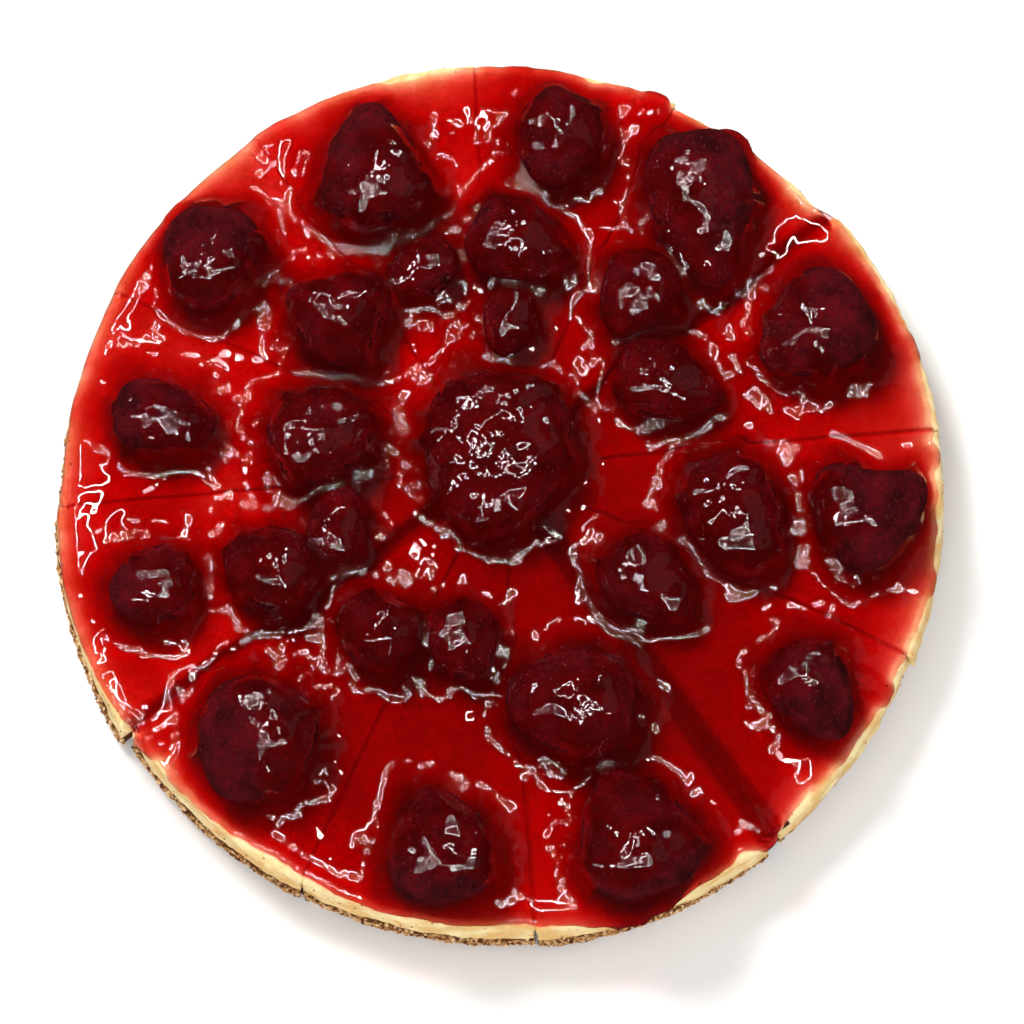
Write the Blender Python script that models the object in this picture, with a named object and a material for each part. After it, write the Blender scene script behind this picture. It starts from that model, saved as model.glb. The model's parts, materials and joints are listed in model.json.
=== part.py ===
"""A round strawberry cheesecake, cut into twelve slices that still stand together.

Six straight cuts cross at one point near the middle and run right through the
crumb base and the baked cream on it. A clear strawberry gel lies over all the
slices in one sheet, runs down into the three widest cuts, and holds whole
strawberries that stand out of it.

The origin is at the centre of the underside, +Z is up, and -Y is the front.
"""
import math
from collections import namedtuple

import bmesh
import bpy
from mathutils import Matrix, Vector, noise

MM = 0.001
OBJECT_NAME = "strawberry_cheesecake"

# Touching pieces keep this gap
GAP = 0.3 * MM

# The disc, from the floor up
RIM_RADIUS = 126.6 * MM
CRUMB_HEIGHT = 8.0 * MM
CREAM_BOTTOM = CRUMB_HEIGHT + GAP
CREAM_TOP = 23.5 * MM
SHOULDER_RADIUS = 2.8 * MM

# The crumb wall: heights, and how far it stands out from the rim radius at each
CRUMB_LEVELS = {0.0: 0.2 * MM, 2.6 * MM: 0.6 * MM, 5.4 * MM: 0.3 * MM, CRUMB_HEIGHT: -0.5 * MM}
CRUMB_ARC_STEPS = 22
CRUMB_CRAG = 0.8 * MM
CRUMB_CRAG_SIZE = 3.2 * MM

# The cream wall leans in a little towards the top and has a rounded shoulder
CREAM_LEAN = 0.9 * MM
CREAM_WALL_LEVELS = 3
CREAM_SHOULDER_STEPS = 3
CREAM_ARC_STEPS = 14
CREAM_LUMP = 0.35 * MM
CREAM_LUMP_SIZE = 14 * MM

# The cuts meet here, a little behind the middle
HUB = Vector((-0.5 * MM, 7.3 * MM))

# Each cut: direction from the hub in degrees anticlockwise from +X, width in mm
Cut = namedtuple("Cut", "direction width")
CUTS = [
    Cut(5.2, 1.0), Cut(37.7, 2.5), Cut(64.7, 0.8), Cut(93.5, 0.8),
    Cut(126.0, 0.8), Cut(155.0, 1.0), Cut(185.2, 0.8), Cut(215.6, 3.0),
    Cut(244.7, 0.8), Cut(274.4, 1.0), Cut(306.2, 5.0), Cut(335.0, 1.0),
]
# How far each slice stands out of the round at the rim in mm, starting after the first cut
SLICE_STEP_OUT = [0.5, -2.2, -0.4, 0.9, 0.0, -0.9, 0.7, -1.3, -1.7, -0.6, -1.5, -0.3]

# The gel sheet
GEL_BOTTOM = CREAM_TOP + GAP
GEL_EDGE_RADIUS = 124.7 * MM
GEL_EDGE_SHORT_OF_WALL = 0.7 * MM
GEL_FOLLOWS_STEP = 0.6
GEL_EDGE_THICKNESS = 0.9 * MM
GEL_THICKNESS = 5.2 * MM
GEL_THINNING = 7.0 * MM
GEL_COLLAR_REACH = 5.0 * MM
GEL_COLLAR_SHARE = 0.52
GEL_COLLAR_START = 0.92
GEL_RIPPLE = 0.5 * MM
GEL_RIPPLE_SIZE = 22 * MM
GEL_GRID = 30
GEL_EDGE_RINGS = [0.0, 2.2 * MM, 6.0 * MM]
GEL_UNDERSIDE_STEPS = [0.0, 1.3 * MM, 1.6 * MM]
GEL_UNDERSIDE_ROOM = 0.1 * MM
# The gel clears the highest cream within this many degrees to either side
NEIGHBOUR_DEGREES = 4
# Where the edge runs out or draws back: direction in degrees, half width in degrees, mm outwards
Wave = namedtuple("Wave", "direction half_width reach")
GEL_WAVES = [
    Wave(57, 4, 1.1), Wave(69, 2.5, 1.3), Wave(78, 3, -1.4), Wave(103, 4, -1.6),
    Wave(46, 4, -1.2), Wave(151, 3, -0.9), Wave(239, 7, -2.0), Wave(271, 6, -1.2),
    Wave(289, 4, 1.0), Wave(303, 2, -1.6), Wave(307, 1.6, 1.4), Wave(314, 3, -1.5),
    Wave(332, 3, 1.1), Wave(348, 3, 1.0), Wave(192, 5, 0.8), Wave(20, 6, 0.7),
]

# In the wide cuts the gel sags at the top and hangs down as a rib
WIDE_CUT = 2.0
GROOVE_DEPTH_PER_WIDTH = 0.45
GROOVE_REACH = 4.0 * MM
RIB_START = 14 * MM
RIB_DEPTH_PER_WIDTH = 2.7
RIB_TOP = GEL_BOTTOM + 1.2 * MM
RIB_END_INSET = 1.2 * MM

# Strawberries: plan centre, width, length in mm, the way the tip points, pitch and form
Berry = namedtuple("Berry", "x y width length tip pitch form")
BERRIES = [
    Berry(-37, 94.5, 30, 36, 92, 5, "cone"),
    Berry(16, 101, 24, 27, 255, 0, "plump"),
    Berry(57, 80, 31, 45, 278, 7, "cone"),
    Berry(-83, 66, 28, 29, 262, 4, "plump"),
    Berry(-46, 47, 29, 26, 276, 3, "heart"),
    Berry(-23.5, 63.5, 16, 21, 200, 0, "plump"),
    Berry(5, 71, 24, 28, 335, 0, "plump"),
    Berry(2, 48, 15, 19, 268, 0, "plump"),
    Berry(38.5, 55.5, 22, 25, 250, 5, "plump"),
    Berry(88, 45, 31, 34, 215, 4, "cone"),
    Berry(-95, 20, 22, 29, 352, 3, "plump"),
    Berry(-50, 15.5, 27, 30, 20, 0, "plump"),
    Berry(-2, 8.5, 42, 46, 262, 4, "plump"),
    Berry(48, 30, 22, 30, 342, 4, "cone"),
    Berry(66, -8.5, 27, 35, 292, 6, "plump"),
    Berry(103, -9.5, 32, 31, 262, 5, "heart"),
    Berry(-66.5, -22.5, 24, 25, 160, 0, "plump"),
    Berry(-46.0, -9.5, 17, 21, 75, -4, "plump"),
    Berry(-99, -28, 22, 24, 190, 0, "plump"),
    Berry(42.5, -28, 24, 29, 318, 5, "cone"),
    Berry(-35.0, -40, 23, 22, 130, 0, "plump"),
    Berry(-11.0, -44, 21, 22, 290, 0, "plump"),
    Berry(19, -61, 30, 36, 176, 0, "plump"),
    Berry(88, -59, 24, 29, 300, 5, "cone"),
    Berry(-69, -73, 34, 35, 250, 3, "plump"),
    Berry(-17, -101, 30, 32, 96, 4, "cone"),
    Berry(37, -97.5, 34, 36, 112, 6, "cone"),
]
BERRY_BOTTOM = GEL_BOTTOM + 1.1 * MM
# A berry's thickness in mm: this share of its width, this much more, and at most this
BERRY_HEIGHT_SHARE = 0.62
BERRY_HEIGHT_MORE = 1.5
BERRY_HEIGHT_MOST = 21.0
BERRY_UNDERSIDE = 0.85
BERRY_LUMP = 0.05
BERRY_LUMP_SIZE = 0.9
BERRY_AROUND = 9
BERRY_ALONG = 7
# How much each form narrows towards the tip
BERRY_TAPER = {"plump": 0.2, "heart": 0.34, "cone": 0.36}
# The hollow at the stalk and the cleft of a heart, as shares of the berry's half size
STALK_DIMPLE = 0.16
STALK_DIMPLE_WIDTH = 0.4
HEART_SPREAD = 0.16
HEART_CLEFT = 0.22
HEART_CLEFT_WIDTH = 0.45
POCKET_GROWTH = 0.45 * MM


def clear_scene():
    """Take away whatever is in the file."""
    for item in list(bpy.data.objects):
        bpy.data.objects.remove(item, do_unlink=True)


def new_collection(name):
    """A collection that is linked to the scene."""
    collection = bpy.data.collections.new(name)
    bpy.context.scene.collection.children.link(collection)
    return collection


def new_material(name, colour, roughness):
    """A Principled material with one colour."""
    material = bpy.data.materials.new(name)
    material.use_nodes = True
    shader = material.node_tree.nodes["Principled BSDF"]
    shader.inputs["Base Color"].default_value = (*colour, 1.0)
    shader.inputs["Roughness"].default_value = roughness
    shader.inputs["Metallic"].default_value = 0.0
    material.diffuse_color = (*colour, 1.0)
    return material


def crumb_material():
    """Butter-bound biscuit crumb."""
    return new_material("biscuit_crumb", (0.40, 0.19, 0.05), 0.9)


def cream_material():
    """Baked soft cheese."""
    return new_material("baked_cream", (0.90, 0.74, 0.33), 0.55)


def gel_material():
    """Set strawberry gel."""
    return new_material("strawberry_gel", (0.56, 0.005, 0.004), 0.08)


def berry_material():
    """Cooked strawberry."""
    return new_material("cooked_strawberry", (0.09, 0.002, 0.008), 0.3)


def object_from(bm, name, collection, material=None):
    """Turn the bmesh into a named object of a collection."""
    mesh = bpy.data.meshes.new(name)
    bm.to_mesh(mesh)
    bm.free()
    item = bpy.data.objects.new(name, mesh)
    collection.objects.link(item)
    if material:
        mesh.materials.append(material)
    return item


def make_cutter(item):
    """Mark an object as a shape that is only used to cut or join others."""
    item.hide_render = True
    item.display_type = "WIRE"


def direction(degrees):
    """The unit vector in plan at an angle anticlockwise from +X."""
    angle = math.radians(degrees)
    return Vector((math.cos(angle), math.sin(angle)))


def left_of(heading):
    """The unit vector in plan a quarter turn to the left."""
    return Vector((-heading.y, heading.x))


def crossing(point_a, heading_a, point_b, heading_b):
    """Where two lines in plan cross."""
    along = (point_b - point_a).cross(heading_b) / heading_a.cross(heading_b)
    return point_a + heading_a * along


def reach_circle(point, heading, radius):
    """Where a line from a point inside the circle about the origin meets it."""
    half = point.dot(heading)
    return point + heading * (math.sqrt(half * half + radius * radius - point.dot(point)) - half)


def cut_side(cut, side):
    """A point and a heading of one wall of a cut; side is 1 for its left wall and -1 for its right."""
    heading = direction(cut.direction)
    return HUB + left_of(heading) * (side * cut.width * MM / 2), heading


def slice_outline(index, arc_steps):
    """The inner corner of a slice, and its outer arc as angles about the origin."""
    wall_a, heading_a = cut_side(CUTS[index], 1)
    wall_b, heading_b = cut_side(CUTS[(index + 1) % len(CUTS)], -1)
    corner = crossing(wall_a, heading_a, wall_b, heading_b)
    start = reach_circle(wall_a, heading_a, RIM_RADIUS)
    end = reach_circle(wall_b, heading_b, RIM_RADIUS)
    first = math.atan2(start.y, start.x)
    sweep = (math.atan2(end.y, end.x) - first) % math.tau
    inner = [(corner, wall_a, heading_a), (corner, wall_b, heading_b)]
    return inner, [first + sweep * step / arc_steps for step in range(arc_steps + 1)]


def slice_ring(index, arc_steps, height, radius_at):
    """The outline of a slice at one height; radius_at gives the outer radius at an angle."""
    inner, angles = slice_outline(index, arc_steps)
    ring = [inner[0][0].to_3d() + Vector((0, 0, height))]
    for step, angle in enumerate(angles):
        radius = radius_at(angle, height)
        if step == 0:
            point = reach_circle(inner[0][1], inner[0][2], radius)
        elif step == arc_steps:
            point = reach_circle(inner[1][1], inner[1][2], radius)
        else:
            point = Vector((math.cos(angle), math.sin(angle))) * radius
        ring.append(Vector((point.x, point.y, height)))
    return ring


def stack_slice(rings):
    """Close the lowest ring with a face and extrude it up from ring to ring."""
    bm = bmesh.new()
    face = bm.faces.new([bm.verts.new(point) for point in rings[0]])
    for level, ring in enumerate(rings[1:]):
        below = face
        grown = bmesh.ops.extrude_face_region(bm, geom=[below])["geom"]
        face = next(item for item in grown if isinstance(item, bmesh.types.BMFace))
        for vert, point in zip(face.verts, ring):
            vert.co = point
        if level > 0:
            bm.faces.remove(below)
    bmesh.ops.recalc_face_normals(bm, faces=bm.faces)
    return bm


def unevenness(x, y, z, size):
    """Smooth noise between about -1 and 1 at a point, with lumps of the given size."""
    return noise.noise(Vector((x, y, z)) / size)


def make_crumb_slice(index, collection, material):
    """One slice of the crumb base, with a craggy outer wall."""
    def radius_at(angle, height):
        radius = RIM_RADIUS + SLICE_STEP_OUT[index] * MM + CRUMB_LEVELS[height]
        x, y = math.cos(angle) * radius, math.sin(angle) * radius
        return radius + CRUMB_CRAG * unevenness(x, y, height, CRUMB_CRAG_SIZE)

    rings = [slice_ring(index, CRUMB_ARC_STEPS, height, radius_at) for height in CRUMB_LEVELS]
    return object_from(stack_slice(rings), f"crumb_slice_{index + 1:02d}", collection, material)


def cream_insets():
    """How far the cream wall is set in at each height, up the leaning side and round the shoulder."""
    insets = {}
    wall_top = CREAM_TOP - SHOULDER_RADIUS
    for step in range(CREAM_WALL_LEVELS):
        share = step / CREAM_WALL_LEVELS
        insets[CREAM_BOTTOM + (wall_top - CREAM_BOTTOM) * share] = CREAM_LEAN * share
    for step in range(CREAM_SHOULDER_STEPS + 1):
        turn = math.pi / 2 * step / CREAM_SHOULDER_STEPS
        inset = CREAM_LEAN + SHOULDER_RADIUS * (1 - math.cos(turn))
        insets[wall_top + SHOULDER_RADIUS * math.sin(turn)] = inset
    return insets


def make_cream_slice(index, collection, material):
    """One slice of the baked cream, with a soft shoulder under the gel."""
    insets = cream_insets()

    def radius_at(angle, height):
        radius = RIM_RADIUS + SLICE_STEP_OUT[index] * MM - insets[height]
        x, y = math.cos(angle) * radius, math.sin(angle) * radius
        return radius + CREAM_LUMP * unevenness(x, y, height, CREAM_LUMP_SIZE)

    rings = [slice_ring(index, CREAM_ARC_STEPS, height, radius_at) for height in insets]
    return object_from(stack_slice(rings), f"cream_slice_{index + 1:02d}", collection, material)


def strawberry_point(point, berry, number):
    """Shape a point of the unit sphere into the berry, lying along Y with its tip at -Y."""
    lump = 1 + BERRY_LUMP * unevenness(*(point + Vector((number, 0, 0))), BERRY_LUMP_SIZE)
    shape = point * lump
    shape.x *= 1 + BERRY_TAPER[berry.form] * point.y
    shape.z *= 1 + BERRY_TAPER[berry.form] * point.y
    off_axis = math.hypot(point.x, point.z)
    stalk_end = max(0.0, point.y)
    shape.y -= STALK_DIMPLE * stalk_end * math.exp(-(off_axis / STALK_DIMPLE_WIDTH) ** 2)
    if berry.form == "heart":
        shape.x *= 1 + HEART_SPREAD * stalk_end
        shape.y -= HEART_CLEFT * stalk_end * math.exp(-(point.x / HEART_CLEFT_WIDTH) ** 2)
    if shape.z < 0:
        shape.z *= BERRY_UNDERSIDE
    return shape


def berry_height(berry):
    """How thick a berry is, in mm."""
    return min(BERRY_HEIGHT_SHARE * berry.width + BERRY_HEIGHT_MORE, BERRY_HEIGHT_MOST)


def berry_cage(berry, number):
    """The closed cage of a berry at its true size, about its own middle."""
    bm = bmesh.new()
    bmesh.ops.create_uvsphere(bm, u_segments=BERRY_AROUND, v_segments=BERRY_ALONG, radius=1)
    poles_along_y = Matrix.Rotation(math.radians(-90), 3, "X")
    half_turn = Matrix.Rotation(math.pi / BERRY_AROUND, 3, "Y")
    for vert in bm.verts:
        vert.co = strawberry_point(half_turn @ poles_along_y @ vert.co, berry, number)
    wanted = (berry.width, berry.length, berry_height(berry))
    for axis, size in enumerate(wanted):
        low = min(vert.co[axis] for vert in bm.verts)
        high = max(vert.co[axis] for vert in bm.verts)
        for vert in bm.verts:
            vert.co[axis] = (vert.co[axis] - (low + high) / 2) * size * MM / (high - low)
    return bm


def place_berry(item, berry):
    """Turn the berry so that its tip points the right way, and lower it onto its bed."""
    turn = Matrix.Rotation(math.radians(berry.tip + 90), 3, "Z")
    lean = Matrix.Rotation(math.radians(berry.pitch), 3, "X")
    lowest = min((lean @ vert.co).z for vert in item.data.vertices)
    item.rotation_euler = (turn @ lean).to_euler()
    item.location = (berry.x * MM, berry.y * MM, BERRY_BOTTOM - lowest)


def make_berry(number, berry, collection, material):
    """One whole strawberry."""
    item = object_from(berry_cage(berry, number), f"strawberry_{number:02d}", collection, material)
    place_berry(item, berry)
    return item


def make_pocket(berry_item, collection):
    """The same berry grown by a little all round, to cut its bed in the gel."""
    bm = bmesh.new()
    bm.from_mesh(berry_item.data)
    bm.normal_update()
    for vert in bm.verts:
        vert.co += vert.normal * POCKET_GROWTH
    pocket = object_from(bm, f"pocket_{berry_item.name}", collection)
    pocket.location = berry_item.location
    pocket.rotation_euler = berry_item.rotation_euler
    make_cutter(pocket)
    return pocket


def angle_between(first, second):
    """The smallest difference between two directions in degrees."""
    return abs((first - second + 180) % 360 - 180)


def slice_at(x, y):
    """The number of the slice that a point in plan lies in."""
    heading = math.degrees(math.atan2(y - HUB.y, x - HUB.x)) % 360
    below = [index for index, cut in enumerate(CUTS) if cut.direction <= heading]
    return below[-1] if below else len(CUTS) - 1


def gel_edge_radius(angle):
    """How far out the gel's edge lies at an angle about the origin."""
    degrees = math.degrees(angle) % 360
    x, y = math.cos(angle) * GEL_EDGE_RADIUS, math.sin(angle) * GEL_EDGE_RADIUS
    step_out = SLICE_STEP_OUT[slice_at(x, y)] * MM
    radius = GEL_EDGE_RADIUS + step_out * GEL_FOLLOWS_STEP
    for wave in GEL_WAVES:
        away = angle_between(degrees, wave.direction) / wave.half_width
        radius += wave.reach * MM * math.exp(-away * away)
    return min(radius, RIM_RADIUS + step_out - CREAM_LEAN - GEL_EDGE_SHORT_OF_WALL)


def cream_surface(x, y):
    """The highest cream near a point: flat on top, then down round the shoulder."""
    radius = math.hypot(x, y)
    angle = math.atan2(y, x)
    highest = 0.0
    for nudge in (-NEIGHBOUR_DEGREES, 0, NEIGHBOUR_DEGREES):
        turned = angle + math.radians(nudge)
        step_out = SLICE_STEP_OUT[slice_at(math.cos(turned) * radius, math.sin(turned) * radius)] * MM
        outer = RIM_RADIUS + step_out - CREAM_LEAN + CREAM_LUMP
        past = min(max(radius - (outer - SHOULDER_RADIUS), 0.0), SHOULDER_RADIUS)
        drop = SHOULDER_RADIUS - math.sqrt(SHOULDER_RADIUS ** 2 - past ** 2)
        highest = max(highest, CREAM_TOP - drop)
    return highest


def cut_distance(x, y, cut):
    """How far a point in plan is from the middle of a cut."""
    offset = Vector((x, y)) - HUB
    heading = direction(cut.direction)
    along = offset.dot(heading)
    return abs(heading.cross(offset)) if along > 0 else offset.length


def collar_height(x, y):
    """How far the gel climbs towards the berries at a point, above its own level."""
    climb = 0.0
    for berry in BERRIES:
        offset = Vector((x, y)) / MM - Vector((berry.x, berry.y))
        heading = direction(berry.tip)
        scaled = math.hypot(offset.dot(heading) * 2 / berry.length, heading.cross(offset) * 2 / berry.width)
        outside = max(0.0, (scaled - GEL_COLLAR_START) * (berry.width + berry.length) / 4) * MM
        top = BERRY_BOTTOM + berry_height(berry) * MM * GEL_COLLAR_SHARE
        wanted = top - GEL_BOTTOM - GEL_THICKNESS
        climb = max(climb, wanted * math.exp(-(outside / GEL_COLLAR_REACH) ** 2))
    return climb


def gel_top(x, y):
    """The height of the gel's upper surface at a point."""
    radius = math.hypot(x, y)
    inside = max(0.0, gel_edge_radius(math.atan2(y, x)) - radius)
    fullness = 1 - math.exp(-inside / GEL_THINNING)
    thickness = GEL_EDGE_THICKNESS + (GEL_THICKNESS - GEL_EDGE_THICKNESS) * fullness
    thickness += fullness * GEL_RIPPLE * unevenness(x, y, 0, GEL_RIPPLE_SIZE)
    for cut in CUTS:
        if cut.width > WIDE_CUT:
            away = cut_distance(x, y, cut) / GROOVE_REACH
            thickness -= fullness * cut.width * GROOVE_DEPTH_PER_WIDTH * MM * math.exp(-away * away)
    return cream_surface(x, y) + GAP + thickness + collar_height(x, y) * fullness


def disc_point(u, v):
    """Map a point of the square from -1 to 1 to a ring number from 0 to 1 and an angle."""
    ring = max(abs(u), abs(v))
    if ring == 0:
        return 0.0, 0.0
    if abs(u) >= abs(v):
        angle = math.pi / 4 * v / u + (0.0 if u > 0 else math.pi)
    else:
        angle = math.pi / 2 - math.pi / 4 * u / v + (0.0 if v > 0 else math.pi)
    return ring, angle


def gel_ring_radius(ring, angle):
    """The radius of a ring of the gel's grid, with the outer rings close to the edge."""
    edge = gel_edge_radius(angle)
    from_edge = round((1 - ring) * GEL_GRID / 2)
    if from_edge < len(GEL_EDGE_RINGS):
        return edge - GEL_EDGE_RINGS[from_edge]
    inner_rings = GEL_GRID / 2 - len(GEL_EDGE_RINGS) + 1
    return (edge - GEL_EDGE_RINGS[-1]) * (GEL_GRID / 2 * ring) / inner_rings


def gel_sheet():
    """The gel as a grid over the disc, closed below by a wall at the edge and a flat underside."""
    bm = bmesh.new()
    bmesh.ops.create_grid(bm, x_segments=GEL_GRID, y_segments=GEL_GRID, size=1)
    for vert in bm.verts:
        ring, angle = disc_point(vert.co.x, vert.co.y)
        radius = gel_ring_radius(ring, angle)
        x, y = math.cos(angle) * radius, math.sin(angle) * radius
        vert.co = (x, y, gel_top(x, y))

    rim = [edge for edge in bm.edges if edge.is_boundary]
    for inset in GEL_UNDERSIDE_STEPS:
        grown = bmesh.ops.extrude_edge_only(bm, edges=rim)["geom"]
        rim = [item for item in grown if isinstance(item, bmesh.types.BMEdge)]
        for vert in (item for item in grown if isinstance(item, bmesh.types.BMVert)):
            inwards = 1 - inset / math.hypot(vert.co.x, vert.co.y)
            x, y = vert.co.x * inwards, vert.co.y * inwards
            vert.co = (x, y, cream_surface(x, y) + GAP + GEL_UNDERSIDE_ROOM)
    bmesh.ops.contextual_create(bm, geom=rim)
    bmesh.ops.recalc_face_normals(bm, faces=bm.faces)
    return bm


def make_rib(cut, collection):
    """The gel that hangs down into a wide cut, as a thin upright slab."""
    heading = direction(cut.direction)
    far = reach_circle(HUB, heading, GEL_EDGE_RADIUS - RIB_END_INSET)
    near = HUB + heading * RIB_START
    depth = RIB_DEPTH_PER_WIDTH * cut.width * MM
    size = Vector(((far - near).length, cut.width * MM - 2 * GAP, RIB_TOP - GEL_BOTTOM + depth))
    bm = bmesh.new()
    bmesh.ops.create_cube(bm, size=1)
    bmesh.ops.scale(bm, vec=size, verts=bm.verts)
    rib = object_from(bm, f"rib_{round(cut.direction)}", collection)
    rib.rotation_euler.z = math.radians(cut.direction)
    rib.location = ((near + far) / 2).to_3d() + Vector((0, 0, RIB_TOP - size.z / 2))
    make_cutter(rib)


def make_gel(pieces, berries, material):
    """The gel sheet, joined with its ribs and cut out round the berries."""
    gel = object_from(gel_sheet(), "strawberry_gel", pieces, material)
    ribs = new_collection("cutters_ribs")
    for cut in CUTS:
        if cut.width > WIDE_CUT:
            make_rib(cut, ribs)
    pockets = new_collection("cutters_pockets")
    for berry_item in berries:
        make_pocket(berry_item, pockets)
    for name, operation, collection in (("ribs", "UNION", ribs), ("pockets", "DIFFERENCE", pockets)):
        modifier = gel.modifiers.new(name, "BOOLEAN")
        modifier.operation = operation
        modifier.operand_type = "COLLECTION"
        modifier.collection = collection
        modifier.solver = "EXACT"
    return gel


def build():
    """Make the whole cake."""
    clear_scene()
    pieces = new_collection(OBJECT_NAME)
    crumb = crumb_material()
    cream = cream_material()
    for index in range(len(CUTS)):
        make_crumb_slice(index, pieces, crumb)
        make_cream_slice(index, pieces, cream)
    berry_look = berry_material()
    berries = [make_berry(number, berry, pieces, berry_look) for number, berry in enumerate(BERRIES, 1)]
    bpy.context.view_layer.update()
    make_gel(pieces, berries, gel_material())
    bpy.context.view_layer.update()


build()
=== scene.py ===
"""The looks of a strawberry cheesecake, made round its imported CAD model.

Baked cream on a biscuit crumb base, cut into twelve slices that stand together, lies under one clear red
gel that holds whole cooked strawberries. Lengths are in metres and directions in degrees, anticlockwise
from +X in plan. +Z is up and -Y is the front, as in the frame.
"""
import json
import math
from collections import namedtuple

import bpy
import numpy as np
from bpy.props import FloatProperty, FloatVectorProperty, IntProperty, PointerProperty
from bpy.types import Operator, Panel, PropertyGroup
from mathutils import Matrix, Vector, noise
from mathutils.bvhtree import BVHTree

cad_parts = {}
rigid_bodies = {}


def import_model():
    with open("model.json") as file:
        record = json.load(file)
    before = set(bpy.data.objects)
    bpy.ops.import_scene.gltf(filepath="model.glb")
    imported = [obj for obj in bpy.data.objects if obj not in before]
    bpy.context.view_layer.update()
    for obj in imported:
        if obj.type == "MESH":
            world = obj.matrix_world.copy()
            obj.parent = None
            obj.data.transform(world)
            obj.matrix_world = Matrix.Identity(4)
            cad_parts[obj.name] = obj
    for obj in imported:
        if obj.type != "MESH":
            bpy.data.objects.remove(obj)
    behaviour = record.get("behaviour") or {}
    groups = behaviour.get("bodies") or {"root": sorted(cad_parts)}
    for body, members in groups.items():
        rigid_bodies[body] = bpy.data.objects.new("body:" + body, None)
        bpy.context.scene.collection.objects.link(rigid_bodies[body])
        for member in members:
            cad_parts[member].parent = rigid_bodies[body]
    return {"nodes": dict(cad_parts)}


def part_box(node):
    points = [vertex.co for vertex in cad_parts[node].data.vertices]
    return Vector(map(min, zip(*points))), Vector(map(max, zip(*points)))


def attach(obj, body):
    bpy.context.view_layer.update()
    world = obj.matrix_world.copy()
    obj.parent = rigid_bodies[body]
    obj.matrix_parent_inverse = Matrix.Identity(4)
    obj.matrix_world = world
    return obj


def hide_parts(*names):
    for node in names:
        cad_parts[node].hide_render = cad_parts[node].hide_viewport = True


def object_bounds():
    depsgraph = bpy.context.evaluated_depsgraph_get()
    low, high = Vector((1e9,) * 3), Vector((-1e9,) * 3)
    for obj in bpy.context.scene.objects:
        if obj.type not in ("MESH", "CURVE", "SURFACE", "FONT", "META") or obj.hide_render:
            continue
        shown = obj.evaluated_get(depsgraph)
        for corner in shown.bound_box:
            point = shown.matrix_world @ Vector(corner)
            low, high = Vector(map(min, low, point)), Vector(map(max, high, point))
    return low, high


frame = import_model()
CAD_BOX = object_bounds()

bl_info = {
    "name": "Strawberry cheesecake looks",
    "version": (1, 0, 0),
    "blender": (4, 5, 0),
    "location": "View3D > Sidebar > Cake",
    "description": "Dresses the packed model of a strawberry cheesecake in crumb, cream, berries and gel",
    "category": "Object",
}

MM = 0.001
BODY = "root"

# The frame's nodes, by kind
CRUMB_NODES = sorted(name for name in frame["nodes"] if name.startswith("crumb_slice"))
CREAM_NODES = sorted(name for name in frame["nodes"] if name.startswith("cream_slice"))
BERRY_NODES = sorted(name for name in frame["nodes"] if name.startswith("strawberry_") and name[-1].isdigit())
GEL_NODE = "strawberry_gel"

# Heights from the frame
CREAM_BOTTOM, CREAM_TOP = (corner.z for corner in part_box(CREAM_NODES[0]))
CRUMB_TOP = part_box(CRUMB_NODES[0])[1].z
CAKE_TOP = CAD_BOX[1].z

# The cream wall leans in a little and ends in a round shoulder
CREAM_LEAN = 0.9 * MM
SHOULDER = 2.8 * MM

# A knife leaves a groove in the cream along each cut: it drags the top edges down and smears cream across.
# Depth of the groove, radius of its edges, height of its curved floor and how far from the hub it begins,
# for a wide cut and for the others
WIDE_CUT = 2.0 * MM
Groove = namedtuple("Groove", "depth rounding curve begin")
WIDE_GROOVE = Groove(3.4 * MM, 3.2 * MM, 2.2 * MM, 8 * MM)
THIN_GROOVE = Groove(0.7 * MM, 0.7 * MM, 0.5 * MM, 24 * MM)
GROOVE_FADE = 2.0 * MM

# The smear's thickness, how far its two sides stay apart and how far from the rim it ends
SMEAR_THICK = 2.0 * MM
SMEAR_GAP = 0.03 * MM
SMEAR_END = 0.8 * MM

# The crumb wall stands this far out, swells by this much at half height and draws in by this much at the top
CRUMB_OUT = 0.1 * MM
CRUMB_SWELL = 0.5 * MM
CRUMB_DRAWN_IN = 0.3 * MM

# The outward push of a wall's crags and lumps fades over this distance along the cuts
WALL_FADE = 4 * MM

# Finer crags and lumps on the broad ones: times finer, share of the height and place in the noise
FINE_CRAGS = (2.5, 0.5, 9.0)
FINE_LUMPS = (3, 0.45, 5.0)

# Levels of a crumb slice and of the cream's straight wall, and the shares of the cream's shoulder and of a
# groove's curve that have a level
CRUMB_LEVELS = 11
WALL_LEVELS = 16
SHOULDER_LEVELS = (1, 0.75, 0.55, 0.45, 0.3, 0.12, 0.06, 0.02, 0)
CURVE_LEVELS = (0, 0.04, 0.13, 0.28, 0.5)

# A few crumbs stick to the cream wall
STRAY_CRUMBS = {"Spacing": 3.2 * MM, "Radius": 0.34 * MM, "Share": 0.12, "Lowest": CRUMB_TOP}

# The broad lumps of a berry: size and height
BERRY_LUMPS = (9 * MM, 0.5 * MM)

# Drips: direction and half width in degrees, and how far they run beyond the gel's own edge
Drip = namedtuple("Drip", "direction half_width run")
DRIPS = [Drip(direction, half_width, run * MM) for direction, half_width, run in [
    (286.2, 2.2, 8.5), (287.5, 6.5, 3.6), (307, 1.3, 5.5), (332, 1.6, 3.6), (348, 1.8, 3.0), (57, 2.6, 5.0),
    (69, 1.5, 6.5), (20, 2.0, 2.4), (192, 2.2, 2.6), (122, 2.6, 4.0), (168, 1.8, 3.0), (139, 1.6, 2.2),
    (88, 1.8, 3.0), (222, 2.0, 1.6), (5, 1.4, 1.8), (215.8, 1.7, 5.0)]]

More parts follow.
